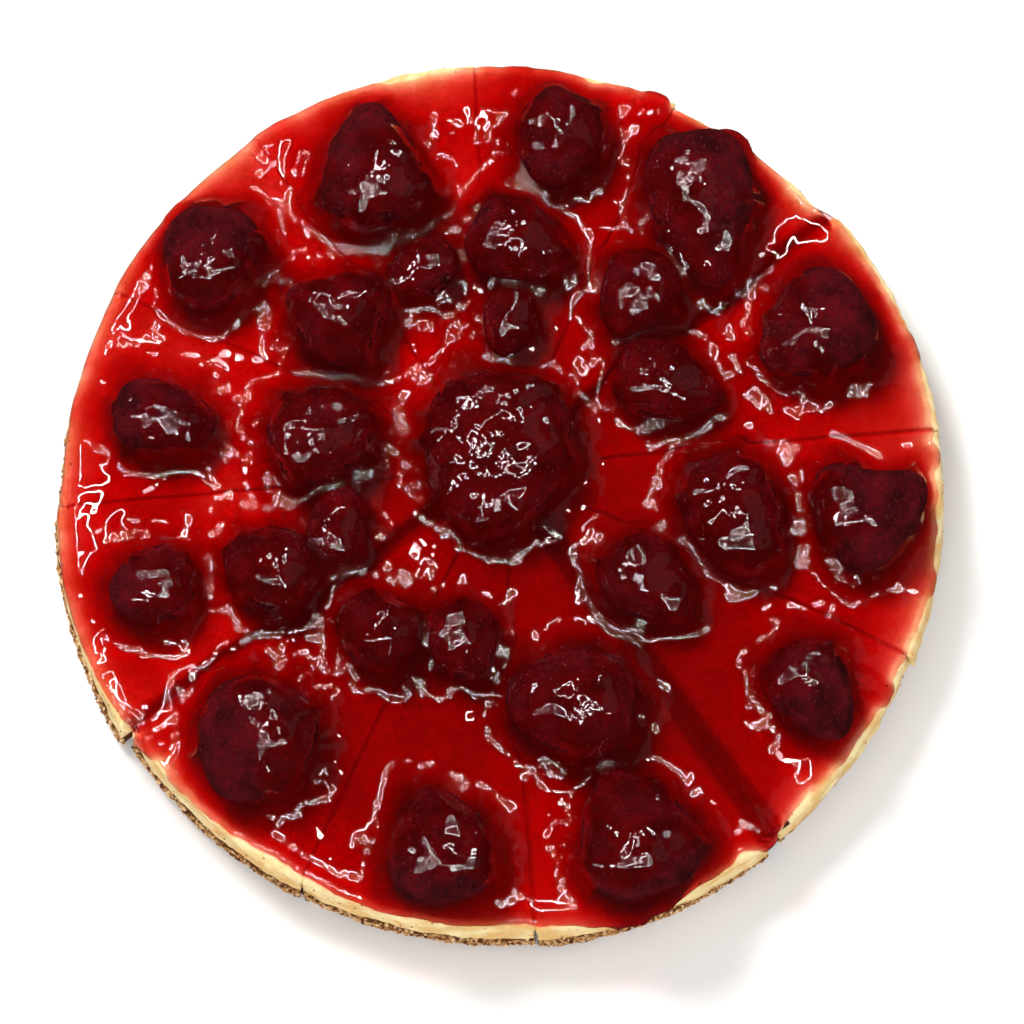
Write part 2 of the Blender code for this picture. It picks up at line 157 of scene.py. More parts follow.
# Where the whole edge of the gel has run over the rim or stops short of it
OVERRUNS = [Drip(130, 24, 2.6 * MM), Drip(178, 27, 2.6 * MM), Drip(87, 8, 2.0 * MM), Drip(350, 34, -0.9 * MM)]

# Where the crumb base stands further in, under the cream
TUCKED = Drip(8, 62, 2.8 * MM)

# Where the gel lies thinner or thicker between the berries: plan place, radius, change of level
Spot = namedtuple("Spot", "x y radius change")
SPOTS = [Spot(*(value * MM for value in spot)) for spot in [
    (71, 50, 8, -3.4), (56, 6, 6, -3.2), (-77, 2, 9, -2.0), (-73, -31, 10, -2.8), (-10, 92, 8, -1.6),
    (-65, 84, 9, -1.8), (-101, 35, 10, -1.8), (-26, 34, 7, -1.6), (100, 75, 8, -1.4), (35, 104, 6, -1.2),
    (-75, 45, 60, -1.3), (-20, 105, 40, -0.7), (50, -50, 36, 1.2), (0, 5, 26, 2.0), (100, 5, 30, -2.0),
    (20, -115, 30, -1.6), (-20, -45, 34, 1.2), (-86, -50, 13, -2.0), (-46, -86, 20, 1.2), (-10, 115, 16, 0.8),
    (-30, -118, 16, -1.8), (116, -20, 14, -1.6), (-105, -75, 16, -1.0), (78, -24, 9, -1.8)]]

# Directions at which the gel thins out slowly to its edge, with the half width in degrees
THIN_RIMS = [(178, 26), (128, 18), (98, 8), (42, 16), (12, 28), (340, 14), (222, 10), (318, 8)]

# Directions at which it stays deep up to a blunt edge
BLUNT_RIMS = [(287, 13), (250, 18)]


def linear(code):
    """An sRGB hex colour as linear red, green and blue."""
    shares = [int(code[start:start + 2], 16) / 255 for start in (0, 2, 4)]
    return tuple(share / 12.92 if share <= 0.04045 else ((share + 0.055) / 1.055) ** 2.4 for share in shares)


def colour(name, code, description):
    """A colour property whose default is an sRGB hex colour."""
    return FloatVectorProperty(
        name=name, description=description, subtype="COLOR", size=3, min=0, max=1, default=linear(code))


def length(name, millimetres, description, lowest=0.0):
    """A length property whose default is given in millimetres."""
    return FloatProperty(
        name=name, description=description, subtype="DISTANCE", unit="LENGTH", min=lowest, precision=5,
        default=millimetres * MM)


class CakeSizes(PropertyGroup):
    """The sizes that shape the cake's surfaces."""
    arc_step: length("Wall step", 0.8, "Spacing of the mesh along the outer walls", 0.1 * MM)
    crag_height: length("Crag height", 0.75, "How far the crumb wall's crags stand out")
    crag_size: length("Crag size", 3.2, "Width of a crag in the crumb wall", 0.1 * MM)
    lump_height: length("Lump height", 0.6, "How far the cream wall's lumps stand out")
    lump_size: length("Lump size", 6.0, "Width of a lump in the cream wall", 0.1 * MM)
    grain_size: length("Grain size", 0.7, "Radius of a biscuit grain", 0.05 * MM)
    grain_spacing: length("Grain spacing", 0.95, "Least distance between biscuit grains", 0.1 * MM)
    berry_step: length("Berry mesh step", 0.62, "Spacing of the mesh on a berry", 0.2 * MM)
    seed_spacing: length("Seed spacing", 2.5, "Least distance between a berry's seeds", 0.5 * MM)
    seed_length: length("Seed length", 0.62, "Half length of a seed", 0.1 * MM)
    dimple_depth: length("Dimple depth", 0.55, "Depth of the dimple round a seed")
    dimple_radius: length("Dimple radius", 1.15, "Radius of the dimple round a seed", 0.1 * MM)
    gel_level: length("Gel level", 4.2, "Height of the open gel above the cream")
    gel_film: length("Gel film", 0.9, "Thickness of the gel over a berry", 0.1 * MM)
    gel_climb: length("Gel climb", 3.6, "Reach of the slope where gel climbs a berry", 0.5 * MM)
    gel_edge: length("Gel edge", 0.85, "Thickness of the gel at its edge", 0.1 * MM)
    ripple_height: length("Ripple height", 0.45, "Height of the broad waves on the gel")
    ripple_size: length("Ripple size", 11.0, "Width of the broad waves on the gel", 1 * MM)
    wrinkle_height: length("Wrinkle height", 0.28, "Height of the small waves on the gel")
    wrinkle_size: length("Wrinkle size", 4.4, "Width of the small waves on the gel", 0.5 * MM)
    bend: length("Bend", 4.2, "How far the slopes of the gel are bent out of round")
    bend_size: length("Bend size", 8.0, "Distance between the bends of the gel's slopes", 1 * MM)
    chop_height: length("Chop height", 0.45, "Height of the lumps where the gel climbs a berry")
    chop_size: length("Chop size", 2.6, "Width of the lumps where the gel climbs a berry", 0.5 * MM)
    gel_rings: IntProperty(
        name="Gel rings", description="Rings of the gel's mesh", min=40, max=146, default=144)


class CakeColours(PropertyGroup):
    """The colours of the cake's materials."""
    crumb_dark: colour("Toasted crumb", "5E3214", "The darkest biscuit grains")
    crumb_mid: colour("Crumb", "B58450", "Most biscuit grains")
    crumb_light: colour("Pale crumb", "E2C293", "The palest biscuit grains")
    cream_pale: colour("Cream", "ECD7A0", "The baked cream")
    cream_deep: colour("Deeper cream", "DCB270", "The baked cream's yellower patches")
    cream_browned: colour("Browned cream", "DE9A45", "Spots that the oven has browned")
    berry_skin: colour("Berry skin", "2C0508", "A cooked strawberry's skin")
    berry_flesh: colour("Berry flesh", "50080F", "Where a strawberry's flesh shows through")
    seed: colour("Seed", "4A1014", "A strawberry seed")


def add(tree, kind, inputs=None, **settings):
    """Add a node; inputs give its sockets a value, a socket or a node's first output to link, or a list."""
    node = tree.nodes.new(kind)
    for name, value in settings.items():
        setattr(node, name, value)
    for name, value in (inputs or {}).items():
        for source in value if isinstance(value, list) else [value]:
            if isinstance(source, bpy.types.Node):
                source = source.outputs[0]
            if isinstance(source, bpy.types.NodeSocket):
                tree.links.new(source, node.inputs[name])
            else:
                node.inputs[name].default_value = source
    return node


def new_material(name):
    """An empty node material and its tree."""
    material = bpy.data.materials.new(name)
    material.use_nodes = True
    material.node_tree.nodes.clear()
    return material, material.node_tree


def ramp_colours(tree, factor, stops):
    """A colour ramp through {position: linear colour}; returns its colour socket."""
    ramp = add(tree, "ShaderNodeValToRGB", {"Fac": factor})
    elements = ramp.color_ramp.elements
    for index, (position, rgb) in enumerate(sorted(stops.items())):
        element = elements[index] if index < len(elements) else elements.new(position)
        element.position = position
        element.color = (*rgb, 1)
    return ramp.outputs["Color"]


def noise_socket(tree, size, detail=2.0, roughness=0.5):
    """Noise on Object coordinates whose lumps have the given size in metres."""
    place = add(tree, "ShaderNodeTexCoord").outputs["Object"]
    texture = add(tree, "ShaderNodeTexNoise", {
        "Vector": place, "Scale": 1 / size, "Detail": detail, "Roughness": roughness})
    return texture.outputs["Fac"]


def finish_material(material, tone, roughness, specular, bumps=None, depth=0.0, strength=0.0):
    """Give a material its tone, roughness and specular level, and bumps of this depth and strength."""
    tree = material.node_tree
    inputs = {"Base Color": tone, "Roughness": roughness, "Specular IOR Level": specular}
    if bumps:
        inputs["Normal"] = add(tree, "ShaderNodeBump", {
            "Strength": strength, "Distance": depth, "Height": bumps})
    shader = add(tree, "ShaderNodeBsdfPrincipled", inputs)
    add(tree, "ShaderNodeOutputMaterial", {"Surface": shader})
    return material


def crumb_material(colours):
    """Crushed biscuit bound with butter: dry, matt grains of uneven toast, darker where fat has soaked in."""
    material, tree = new_material("buttered_biscuit_crumb")
    grain = add(tree, "ShaderNodeAttribute", attribute_name="grain").outputs["Fac"]
    fleck = noise_socket(tree, 1.1 * MM, detail=3.0, roughness=0.6)
    mixed = add(tree, "ShaderNodeMath", {0: grain, 1: fleck}, operation="ADD")
    half = add(tree, "ShaderNodeMath", {0: mixed, 1: 0.5}, operation="MULTIPLY")
    tone = ramp_colours(tree, half, {
        0.31: colours.crumb_dark, 0.44: colours.crumb_mid,
        0.58: colours.crumb_mid, 0.74: colours.crumb_light})
    pores = noise_socket(tree, 0.45 * MM, detail=3.0)
    return finish_material(
        material, tone, roughness=0.82, specular=0.3, bumps=pores, depth=0.25 * MM, strength=0.5)


def cream_material(colours):
    """Baked soft cheese: dense, slightly moist and pale, with yellower patches and a few browned spots."""
    material, tree = new_material("baked_soft_cheese")
    patch = noise_socket(tree, 9 * MM, detail=4.0, roughness=0.6)
    tone = ramp_colours(tree, patch, {0.38: colours.cream_pale, 0.6: colours.cream_deep})
    browned = add(tree, "ShaderNodeMapRange", {
        "Value": noise_socket(tree, 6 * MM, detail=5.0, roughness=0.65), "From Min": 0.57, "From Max": 0.72})
    mixed = add(tree, "ShaderNodeMix", {
        "Factor": browned, 6: tone, 7: (*colours.cream_browned, 1)}, data_type="RGBA")
    curd = noise_socket(tree, 1.3 * MM, detail=4.0, roughness=0.6)
    return finish_material(
        material, mixed.outputs[2], roughness=0.5, specular=0.4, bumps=curd, depth=0.4 * MM, strength=0.6)


def berry_material(colours):
    """Cooked strawberry: wine-dark soft skin, redder where it is thin, wet and index-matched by the gel."""
    material, tree = new_material("cooked_strawberry_skin")
    patch = noise_socket(tree, 7 * MM, detail=3.0, roughness=0.6)
    tone = ramp_colours(tree, patch, {0.36: colours.berry_skin, 0.68: colours.berry_flesh})
    speckle = noise_socket(tree, 0.9 * MM)
    return finish_material(
        material, tone, roughness=0.5, specular=0.03, bumps=speckle, depth=0.4 * MM, strength=0.8)


def seed_material(colours):
    """Strawberry seed: a hard tan shell, stained by the syrup."""
    material, tree = new_material("strawberry_seed_shell")
    tone = ramp_colours(tree, noise_socket(tree, 3 * MM), {0.3: colours.berry_skin, 0.6: colours.seed})
    return finish_material(material, tone, roughness=0.35, specular=0.1)


# Set gel: it refracts like sugar syrup, each metre of it takes away this much of each colour, and it
# scatters a little red itself, which a painted glow stands for: a faint, even red emission that no lamp gives
GEL_IOR = 1.4
GEL_DENSITY = 1000.0
GEL_ABSORBS = (106.0, 860.0, 820.0)
GEL_PAINTED_GLOW = (1, 0.01, 0.015, 1)
GEL_PAINTED_GLOW_STRENGTH = 0.027


def gel_material():
    """Set glaze gel: clear, wet and glossy, and red by its depth, so that it pales where it is thin."""
    material, tree = new_material("set_strawberry_glaze")
    fine = add(tree, "ShaderNodeBump", {
        "Strength": 0.1, "Distance": 0.3 * MM, "Height": noise_socket(tree, 3.2 * MM, detail=0.0)})
    # The red emission is painted light: a faint glow that lifts the gel's darkest places
    glass = add(tree, "ShaderNodeBsdfPrincipled", {
        "Base Color": (1, 1, 1, 1), "Roughness": 0.005, "IOR": GEL_IOR, "Transmission Weight": 1.0,
        "Coat Weight": 1.0, "Coat Roughness": 0.0, "Coat IOR": 1.6,
        "Emission Color": GEL_PAINTED_GLOW, "Emission Strength": GEL_PAINTED_GLOW_STRENGTH, "Normal": fine})
    clear = add(tree, "ShaderNodeBsdfTransparent")
    shadow = add(tree, "ShaderNodeLightPath").outputs["Is Shadow Ray"]
    mix = add(tree, "ShaderNodeMixShader", {0: shadow, 1: glass, 2: clear})
    kept = tuple(1 - share / GEL_DENSITY for share in GEL_ABSORBS)
    depth = add(tree, "ShaderNodeVolumeAbsorption", {"Color": (*kept, 1), "Density": GEL_DENSITY})
    add(tree, "ShaderNodeOutputMaterial", {"Surface": mix, "Volume": depth})
    return material


def new_tree(name, inputs):
    """A geometry tree with these named inputs, {name: (socket type, default)}, and its input sockets."""
    tree = bpy.data.node_groups.new(name, "GeometryNodeTree")
    tree.interface.new_socket("Geometry", in_out="INPUT", socket_type="NodeSocketGeometry")
    tree.interface.new_socket("Geometry", in_out="OUTPUT", socket_type="NodeSocketGeometry")
    for socket_name, (kind, default) in inputs.items():
        socket = tree.interface.new_socket(socket_name, in_out="INPUT", socket_type="NodeSocket" + kind)
        if default is not None:
            socket.default_value = default
    return tree, tree.nodes.new("NodeGroupInput").outputs


def run_modifiers(item):
    """Turn an object's modifiers into its mesh and take them off."""
    graph = bpy.context.evaluated_depsgraph_get()
    made = bpy.data.meshes.new_from_object(item.evaluated_get(graph))
    old = item.data
    item.modifiers.clear()
    item.data = made
    made.name = item.name
    bpy.data.meshes.remove(old)


def run_tree(item, tree, values):
    """Run a geometry tree on an object with these values for its named inputs."""
    modifier = item.modifiers.new(tree.name, "NODES")
    modifier.node_group = tree
    for socket in tree.interface.items_tree:
        if socket.in_out == "INPUT" and socket.name in values:
            modifier[socket.identifier] = values[socket.name]
    run_modifiers(item)


def grain_tree():
    """Scatters small broken lumps over the faces marked as wall, and joins them to the mesh."""
    tree, given = new_tree("scattered_grains", {
        "Spacing": ("Float", 1 * MM), "Radius": ("Float", 0.6 * MM), "Share": ("Float", 1.0),
        "Lowest": ("Float", 0.0), "Seed": ("Int", 1), "Material": ("Material", None)})
    wall = add(tree, "GeometryNodeInputNamedAttribute", {"Name": "wall"}, data_type="BOOLEAN")
    points = add(tree, "GeometryNodeDistributePointsOnFaces", {
        "Mesh": given["Geometry"], "Selection": wall.outputs["Attribute"], "Distance Min": given["Spacing"],
        "Density Max": 4e6, "Density Factor": given["Share"], "Seed": given["Seed"]},
        distribute_method="POISSON")
    lump = add(tree, "GeometryNodeMeshIcoSphere", {"Radius": given["Radius"], "Subdivisions": 1})
    bend = add(tree, "FunctionNodeRandomValue", {
        0: (-0.25, -0.25, -0.25), 1: (0.25, 0.25, 0.25), "Seed": 7}, data_type="FLOAT_VECTOR")
    bent = add(tree, "ShaderNodeVectorMath", {0: bend, "Scale": given["Radius"]}, operation="SCALE")
    broken = add(tree, "GeometryNodeSetPosition", {"Geometry": lump, "Offset": bent})
    turn = add(tree, "FunctionNodeRandomValue", {
        0: (0, 0, 0), 1: (math.tau, math.tau, math.tau), "Seed": given["Seed"]}, data_type="FLOAT_VECTOR")
    scale = add(tree, "FunctionNodeRandomValue", {
        0: (0.55, 0.55, 0.55), 1: (1.45, 1.3, 1.2), "Seed": given["Seed"]}, data_type="FLOAT_VECTOR")
    placed = add(tree, "GeometryNodeInstanceOnPoints", {
        "Points": points, "Instance": broken, "Scale": scale,
        "Rotation": add(tree, "FunctionNodeEulerToRotation", {0: turn})})
    shade = add(tree, "FunctionNodeRandomValue", {2: 0.0, 3: 1.0, "Seed": 11}, data_type="FLOAT")
    toned = add(tree, "GeometryNodeStoreNamedAttribute", {
        "Geometry": placed, "Name": "grain", "Value": shade.outputs[1]},
        data_type="FLOAT", domain="INSTANCE")
    real = add(tree, "GeometryNodeRealizeInstances", {"Geometry": toned})
    painted = add(tree, "GeometryNodeSetMaterial", {"Geometry": real, "Material": given["Material"]})
    place = add(tree, "GeometryNodeInputPosition")
    floor = add(tree, "ShaderNodeCombineXYZ", {0: -1.0, 1: -1.0, 2: given["Lowest"]})
    above = add(tree, "ShaderNodeVectorMath", {0: place, 1: floor}, operation="MAXIMUM")
    kept = add(tree, "GeometryNodeSetPosition", {"Geometry": painted, "Position": above})
    both = add(tree, "GeometryNodeJoinGeometry", {0: [given["Geometry"], kept]})
    add(tree, "NodeGroupOutput", {0: both})
    return tree


# A seed's length, width and thickness as shares of its length, and how deep its middle sinks in
SEED_SHAPE = (1.0, 0.6, 0.4)
SEED_SUNK = 0.32 * MM


def berry_tree():
    """Presses dimples into a berry at scattered points and lays a seed in each."""
    tree, given = new_tree("seeded_berry_skin", {
        "Spacing": ("Float", 2.5 * MM), "Dimple depth": ("Float", 0.4 * MM),
        "Dimple radius": ("Float", 1.1 * MM), "Seed length": ("Float", 0.6 * MM),
        "Seed": ("Int", 1), "Skin": ("Material", None), "Shell": ("Material", None)})
    points = add(tree, "GeometryNodeDistributePointsOnFaces", {
        "Mesh": given["Geometry"], "Distance Min": given["Spacing"], "Density Max": 1e6,
        "Seed": given["Seed"]}, distribute_method="POISSON")
    near = add(tree, "GeometryNodeProximity", {0: points}, target_element="POINTS")
    press = add(tree, "ShaderNodeMapRange", {
        "Value": near.outputs["Distance"], "From Min": 0.0, "From Max": given["Dimple radius"],
        "To Min": given["Dimple depth"], "To Max": 0.0}, interpolation_type="SMOOTHSTEP")
    inwards = add(tree, "ShaderNodeMath", {0: press, 1: -1.0}, operation="MULTIPLY")
    normal = add(tree, "GeometryNodeInputNormal")
    offset = add(tree, "ShaderNodeVectorMath", {0: normal, "Scale": inwards}, operation="SCALE")
    dimpled = add(tree, "GeometryNodeSetPosition", {"Geometry": given["Geometry"], "Offset": offset})
    skin = add(tree, "GeometryNodeSetMaterial", {"Geometry": dimpled, "Material": given["Skin"]})
    ball = add(tree, "GeometryNodeMeshIcoSphere", {"Radius": given["Seed length"], "Subdivisions": 2})
    spin = add(tree, "FunctionNodeRandomValue", {2: 0.0, 3: math.tau, "Seed": 5}, data_type="FLOAT")
    about = add(tree, "ShaderNodeCombineXYZ", {2: spin.outputs[1]})
    turned = add(tree, "FunctionNodeRotateRotation", {
        "Rotation": points.outputs["Rotation"],
        "Rotate By": add(tree, "FunctionNodeEulerToRotation", {0: about})}, rotation_space="LOCAL")
    sink = add(tree, "ShaderNodeVectorMath", {
        0: points.outputs["Normal"], "Scale": -SEED_SUNK}, operation="SCALE")
    sunk = add(tree, "GeometryNodeSetPosition", {"Geometry": points, "Offset": sink})
    seeds = add(tree, "GeometryNodeInstanceOnPoints", {
        "Points": sunk, "Instance": ball, "Rotation": turned, "Scale": SEED_SHAPE})
    shells = add(tree, "GeometryNodeRealizeInstances", {"Geometry": seeds})
    smooth = add(tree, "GeometryNodeSetShadeSmooth", {"Geometry": shells})
    tan = add(tree, "GeometryNodeSetMaterial", {"Geometry": smooth, "Material": given["Shell"]})
    both = add(tree, "GeometryNodeJoinGeometry", {0: [skin, tan]})
    add(tree, "NodeGroupOutput", {0: both})
    return tree


def finish_piece(item, slot, *nodes):
    """Let a piece ride on the cake and hide the CAD nodes it stands in for; its slot is not used."""
    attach(item, BODY)
    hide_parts(*nodes)


def new_object(name, data):
    """An object of the scene with this mesh, lamp or camera."""
    item = bpy.data.objects.new(name, data)
    bpy.context.scene.collection.objects.link(item)
    return item


def new_mesh(name, verts, faces, *materials):
    """A mesh with these places of its corners, faces and materials."""
    mesh = bpy.data.meshes.new(name)
    mesh.from_pydata(verts, [], faces)
    for material in materials:
        mesh.materials.append(material)
    return mesh


def unevenness(points, size, shift=0.0):
    """Smooth noise between about -1 and 1 at each point, with lumps of the given size."""
    return np.array([noise.noise(Vector(point) / size + Vector((shift, 0, 0))) for point in points])


def rough(points, size, finer, share, shift):
    """Smooth noise with noise on it that is this many times finer and this share as high."""
    return unevenness(points, size) + share * unevenness(points, size / finer, shift)


def clamp(value):
    """A number kept between 0 and 1."""
    return min(1.0, max(0.0, value))


def bearing(point):
    """The direction of a point in plan, in radians."""
    return math.atan2(point.y, point.x)


def arc(start, end):
    """Where the arc between two points in plan begins and how far it turns, in radians."""
    first = bearing(start)
    return first, (bearing(end) - first) % math.tau


def left_of(line):
    """The unit vector in plan a quarter turn to the left."""
    return Vector((-line.y, line.x))


def reach_circle(point, line, radius):
    """Where a line from a point inside the circle about the origin meets it."""
    half = point.dot(line)
    return point + line * (math.sqrt(half * half + radius * radius - point.dot(point)) - half)


def node_points(node):
    """The places of a CAD node's vertices."""
    return np.array([vert.co for vert in frame["nodes"][node].data.vertices])


# A slice in plan: its inner corner, the two ends of its outer arc and the arc's radius
SlicePlan = namedtuple("SlicePlan", "corner start end radius")


def slice_plan(node):
    """Read a slice's plan from the lowest ring of its CAD node."""
    points = node_points(node)
    ring = points[points[:, 2] < points[:, 2].min() + 0.01 * MM][:, :2]
    radii = np.hypot(ring[:, 0], ring[:, 1])
    rim = ring[radii > radii.max() / 2]
    middle = math.atan2(rim[:, 1].mean(), rim[:, 0].mean())
    turn = (np.arctan2(rim[:, 1], rim[:, 0]) - middle + math.pi) % math.tau
    return SlicePlan(Vector(ring[radii.argmin()]), Vector(rim[turn.argmin()]), Vector(rim[turn.argmax()]),
                     float(radii[radii > radii.max() / 2].mean()))


CREAM_PLANS = [slice_plan(node) for node in CREAM_NODES]

# A cut in plan: where it begins, the way it runs, its width and the cream's radius beside it
CutPlan = namedtuple("CutPlan", "start line width radius")


def cut_plans():
    """Read the cut in front of each slice from the walls on its two sides."""
    cuts = []
    for index, after in enumerate(CREAM_PLANS):
        before = CREAM_PLANS[index - 1]
        line = (after.start - after.corner).normalized()
        width = abs(line.cross(before.end - after.start))
        middle = after.corner - left_of(line) * width / 2
        cuts.append(CutPlan(middle, line, width, min(before.radius, after.radius)))
    return cuts


CUTS = cut_plans()


def groove(cut):
    """The groove along a cut."""
    return WIDE_GROOVE if cut.width > WIDE_CUT else THIN_GROOVE


def cut_offset(point, depth, plan, cut):
    """How far the cream beside a cut stands out from its wall: smeared into it, and rounded by the groove."""
    kind = groove(cut)
    most = (cut.width - SMEAR_GAP) / 2
    smeared = opened = most * clamp(2 - (depth - kind.depth) / SMEAR_THICK)
    if depth < kind.depth:
        into = max(0.0, 1 - (kind.depth - depth) / kind.curve)
        opened = most * (1 - math.sqrt(1 - into * into))
    to_rim = (plan.radius - SMEAR_END - point.length) / (1 * MM)
    from_hub = (point.length - 5 * most) / (4 * most + 1 * MM)
    open_share = clamp(((point - cut.start).length - kind.begin) / GROOVE_FADE)
    share = clamp(to_rim) * clamp(from_hub)
    rounded = rounded_inset(CREAM_TOP - depth, kind.rounding) * open_share
    return (smeared + (opened - smeared) * open_share) * share - rounded


# Points along a cut wall, as shares of its length, closer together near the rim
WALL_SHARES = [*np.linspace(0, 0.94, 20), 0.965, 0.985, 0.993]
WALL_STEPS = len(WALL_SHARES)


def slice_ring(plan, wall_inset, arc_steps, offset_at):
    """A slice's outline in plan, anticlockwise from its inner corner, its cut walls moved by offset_at."""
    radius = plan.radius - wall_inset
    walls = []
    for side, tip in enumerate((plan.start, plan.end)):
        line = (tip - plan.corner).normalized()
        outwards = left_of(line) * (side * 2 - 1)
        reach = (reach_circle(plan.corner, line, radius) - plan.corner).length
        straight = [plan.corner + line * reach * share for share in WALL_SHARES]
        points = [point + outwards * offset_at(point, side) for point in straight]
        moved = plan.corner + outwards * offset_at(plan.corner + line * plan.radius, side)
        walls.append((points, reach_circle(moved, line, radius)))
    (wall_a, start), (wall_b, end) = walls
    first, sweep = arc(start, end)
    for step in range(arc_steps + 1):
        angle = first + sweep * step / arc_steps
        wall_a.append(Vector((math.cos(angle), math.sin(angle))) * radius)
    return wall_a + wall_b[:0:-1]


def stack_rings(name, rings, arc_steps):
    """Close a stack of rings into a solid, with its outer wall marked."""
    count = len(rings[0])
    verts = [tuple(point) for ring in rings for point in ring]
    faces, wall = [], []
    for level in range(len(rings) - 1):
        for index in range(count):
            after = (index + 1) % count
            low = level * count
            faces.append((low + index, low + after, low + count + after, low + count + index))
            wall.append(WALL_STEPS <= index < WALL_STEPS + arc_steps)
    faces.append(tuple(range(count - 1, -1, -1)))
    faces.append(tuple(range(len(verts) - count, len(verts))))
    mesh = new_mesh(name, verts, faces)
    mesh.attributes.new("wall", "BOOLEAN", "FACE").data.foreach_set("value", wall + [False, False])
    mesh.polygons.foreach_set("use_smooth", [True] * len(wall) + [False, False])
    return mesh


def arc_steps_for(plan, step):
    """How many steps of the wanted length the slice's outer arc has."""
    return round(plan.radius * arc(plan.start, plan.end)[1] / step)


def push_wall(ring, height, amount_at):
    """Give a ring its height, and push its points that lie at the rim outwards by an amount."""
    points = [Vector((point.x, point.y, height)) for point in ring]
    amounts = amount_at(points)
    reach = max(point.xy.length for point in points)
    for point, amount in zip(points, amounts):
        share = max(0.0, 1 - (reach - point.xy.length) / WALL_FADE)
        point.xy += point.xy.normalized() * amount * share
    return points


def make_crumb_slice(node, sizes, material, grains):
    """One slice of the crumb base, craggy outside, with its grains."""
    plan = slice_plan(node)
    steps = arc_steps_for(plan, sizes.arc_step)

    def crags(points):
        off = angle_from(TUCKED.direction, np.array([bearing(point) for point in points]))
        tucked = TUCKED.run * np.exp(-(off / TUCKED.half_width) ** 4)
        return sizes.crag_height * rough(points, sizes.crag_size, *FINE_CRAGS) - tucked

    rings = []
    for height in np.linspace(0, CRUMB_TOP, CRUMB_LEVELS):
        share = height / CRUMB_TOP
        bulge = CRUMB_SWELL * math.sin(math.pi * share) + CRUMB_OUT - CRUMB_DRAWN_IN * share ** 4
        rings.append(push_wall(slice_ring(plan, -bulge, steps, lambda point, side: 0.0), height, crags))
    item = new_object(node.replace("slice", "base"), stack_rings(node, rings, steps))
    item.data.materials.append(material)
    run_tree(item, grains, {"Spacing": sizes.grain_spacing, "Radius": sizes.grain_size, "Lowest": 0.0,
                            "Seed": int(node[-2:]), "Material": material})
    finish_piece(item, "crumb", node)


def cream_levels():
    """Heights up the cream wall and round its shoulder, each with the wall's inset there."""
    wall_top = CREAM_TOP - SHOULDER
    heights = [CREAM_BOTTOM + (wall_top - CREAM_BOTTOM) * step / WALL_LEVELS for step in range(WALL_LEVELS)]
    heights += [CREAM_TOP - SHOULDER * share for share in SHOULDER_LEVELS]
    for kind in (WIDE_GROOVE, THIN_GROOVE):
        heights += [CREAM_TOP - kind.depth + kind.curve * share for share in CURVE_LEVELS]
    levels = []
    for height in sorted(heights):
        up = max(0.0, height - wall_top) / SHOULDER
        shoulder = SHOULDER * (1 - math.sqrt(max(0.0, 1 - up * up)))
        lean = CREAM_LEAN * min(1.0, (height - CREAM_BOTTOM) / (wall_top - CREAM_BOTTOM))
        levels.append((height, lean + shoulder))
    return levels


def rounded_inset(height, radius):
    """How far a wall with a rounded top edge is set in at a height."""
    above = max(0.0, height - (CREAM_TOP - radius))
    return radius - math.sqrt(max(0.0, radius ** 2 - above ** 2))


def make_cream_slice(index, node, sizes, material, crumbs, crumb_look):
    """One slice of the baked cream, lumpy outside, with a few crumbs stuck to it."""
    plan = CREAM_PLANS[index]
    steps = arc_steps_for(plan, sizes.arc_step)
    cuts = CUTS[index], CUTS[(index + 1) % len(CUTS)]

    def lumps(points):
        return sizes.lump_height * rough(points, sizes.lump_size, *FINE_LUMPS)

    rings = []
    for height, inset in cream_levels():
        depth = CREAM_TOP - height
        ring = slice_ring(plan, inset, steps, lambda point, side: cut_offset(point, depth, plan, cuts[side]))
        rings.append(push_wall(ring, height, lumps))
    item = new_object(node.replace("slice", "layer"), stack_rings(node, rings, steps))
    item.data.materials.append(material)
    run_tree(item, crumbs, STRAY_CRUMBS | {"Seed": index, "Material": crumb_look})
    finish_piece(item, "cream", node)


def make_berry(number, node, sizes, tree, skin, shell):
    """One cooked strawberry, smoothed from its CAD cage, with dimples and seeds."""
    item = new_object(node.replace("strawberry", "berry"), frame["nodes"][node].data.copy())
    item.data.materials.clear()
    low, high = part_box(node)
    weld = item.modifiers.new("weld", "WELD")
    weld.merge_threshold = 0.001 * MM
    rounder = item.modifiers.new("round", "SUBSURF")
    rounder.levels = rounder.render_levels = 2
    remesh = item.modifiers.new("even", "REMESH")
    remesh.mode = "VOXEL"
    remesh.voxel_size = sizes.berry_step
    remesh.use_smooth_shade = True
    run_modifiers(item)
    points = np.empty(len(item.data.vertices) * 3)
    item.data.vertices.foreach_get("co", points)
    points = points.reshape(-1, 3)
    size, middle = np.array(high - low), np.array(high + low) / 2
    points = (points - (points.min(0) + points.max(0)) / 2) * size / np.ptp(points, axis=0) + middle
    outwards = (points - middle) / np.linalg.norm(points - middle, axis=1)[:, None]
    lumps = unevenness(points, BERRY_LUMPS[0], number) * BERRY_LUMPS[1]
    points += outwards * lumps[:, None]
    item.data.vertices.foreach_set("co", points.ravel())
    item.data.update()
    run_tree(item, tree, {"Spacing": sizes.seed_spacing, "Dimple depth": sizes.dimple_depth,
                          "Dimple radius": sizes.dimple_radius, "Seed length": sizes.seed_length,
                          "Seed": number, "Skin": skin, "Shell": shell})
    finish_piece(item, "berry", node)
    return item


# Steps round the rim at which its shape is worked out
RIM_STEPS = 1440
RIM_ANGLES = np.arange(RIM_STEPS) * math.tau / RIM_STEPS


def smooth_round(values, reach):
    """Average values that go round the rim over this many steps to either side."""
    return sum(np.roll(values, shift) for shift in range(-reach, reach + 1)) / (2 * reach + 1)


def angle_from(degrees, angles=RIM_ANGLES):
    """How far each of these angles, which are in radians, lies from a direction, in degrees."""
    return np.abs((np.degrees(angles) - degrees + 180) % 360 - 180)


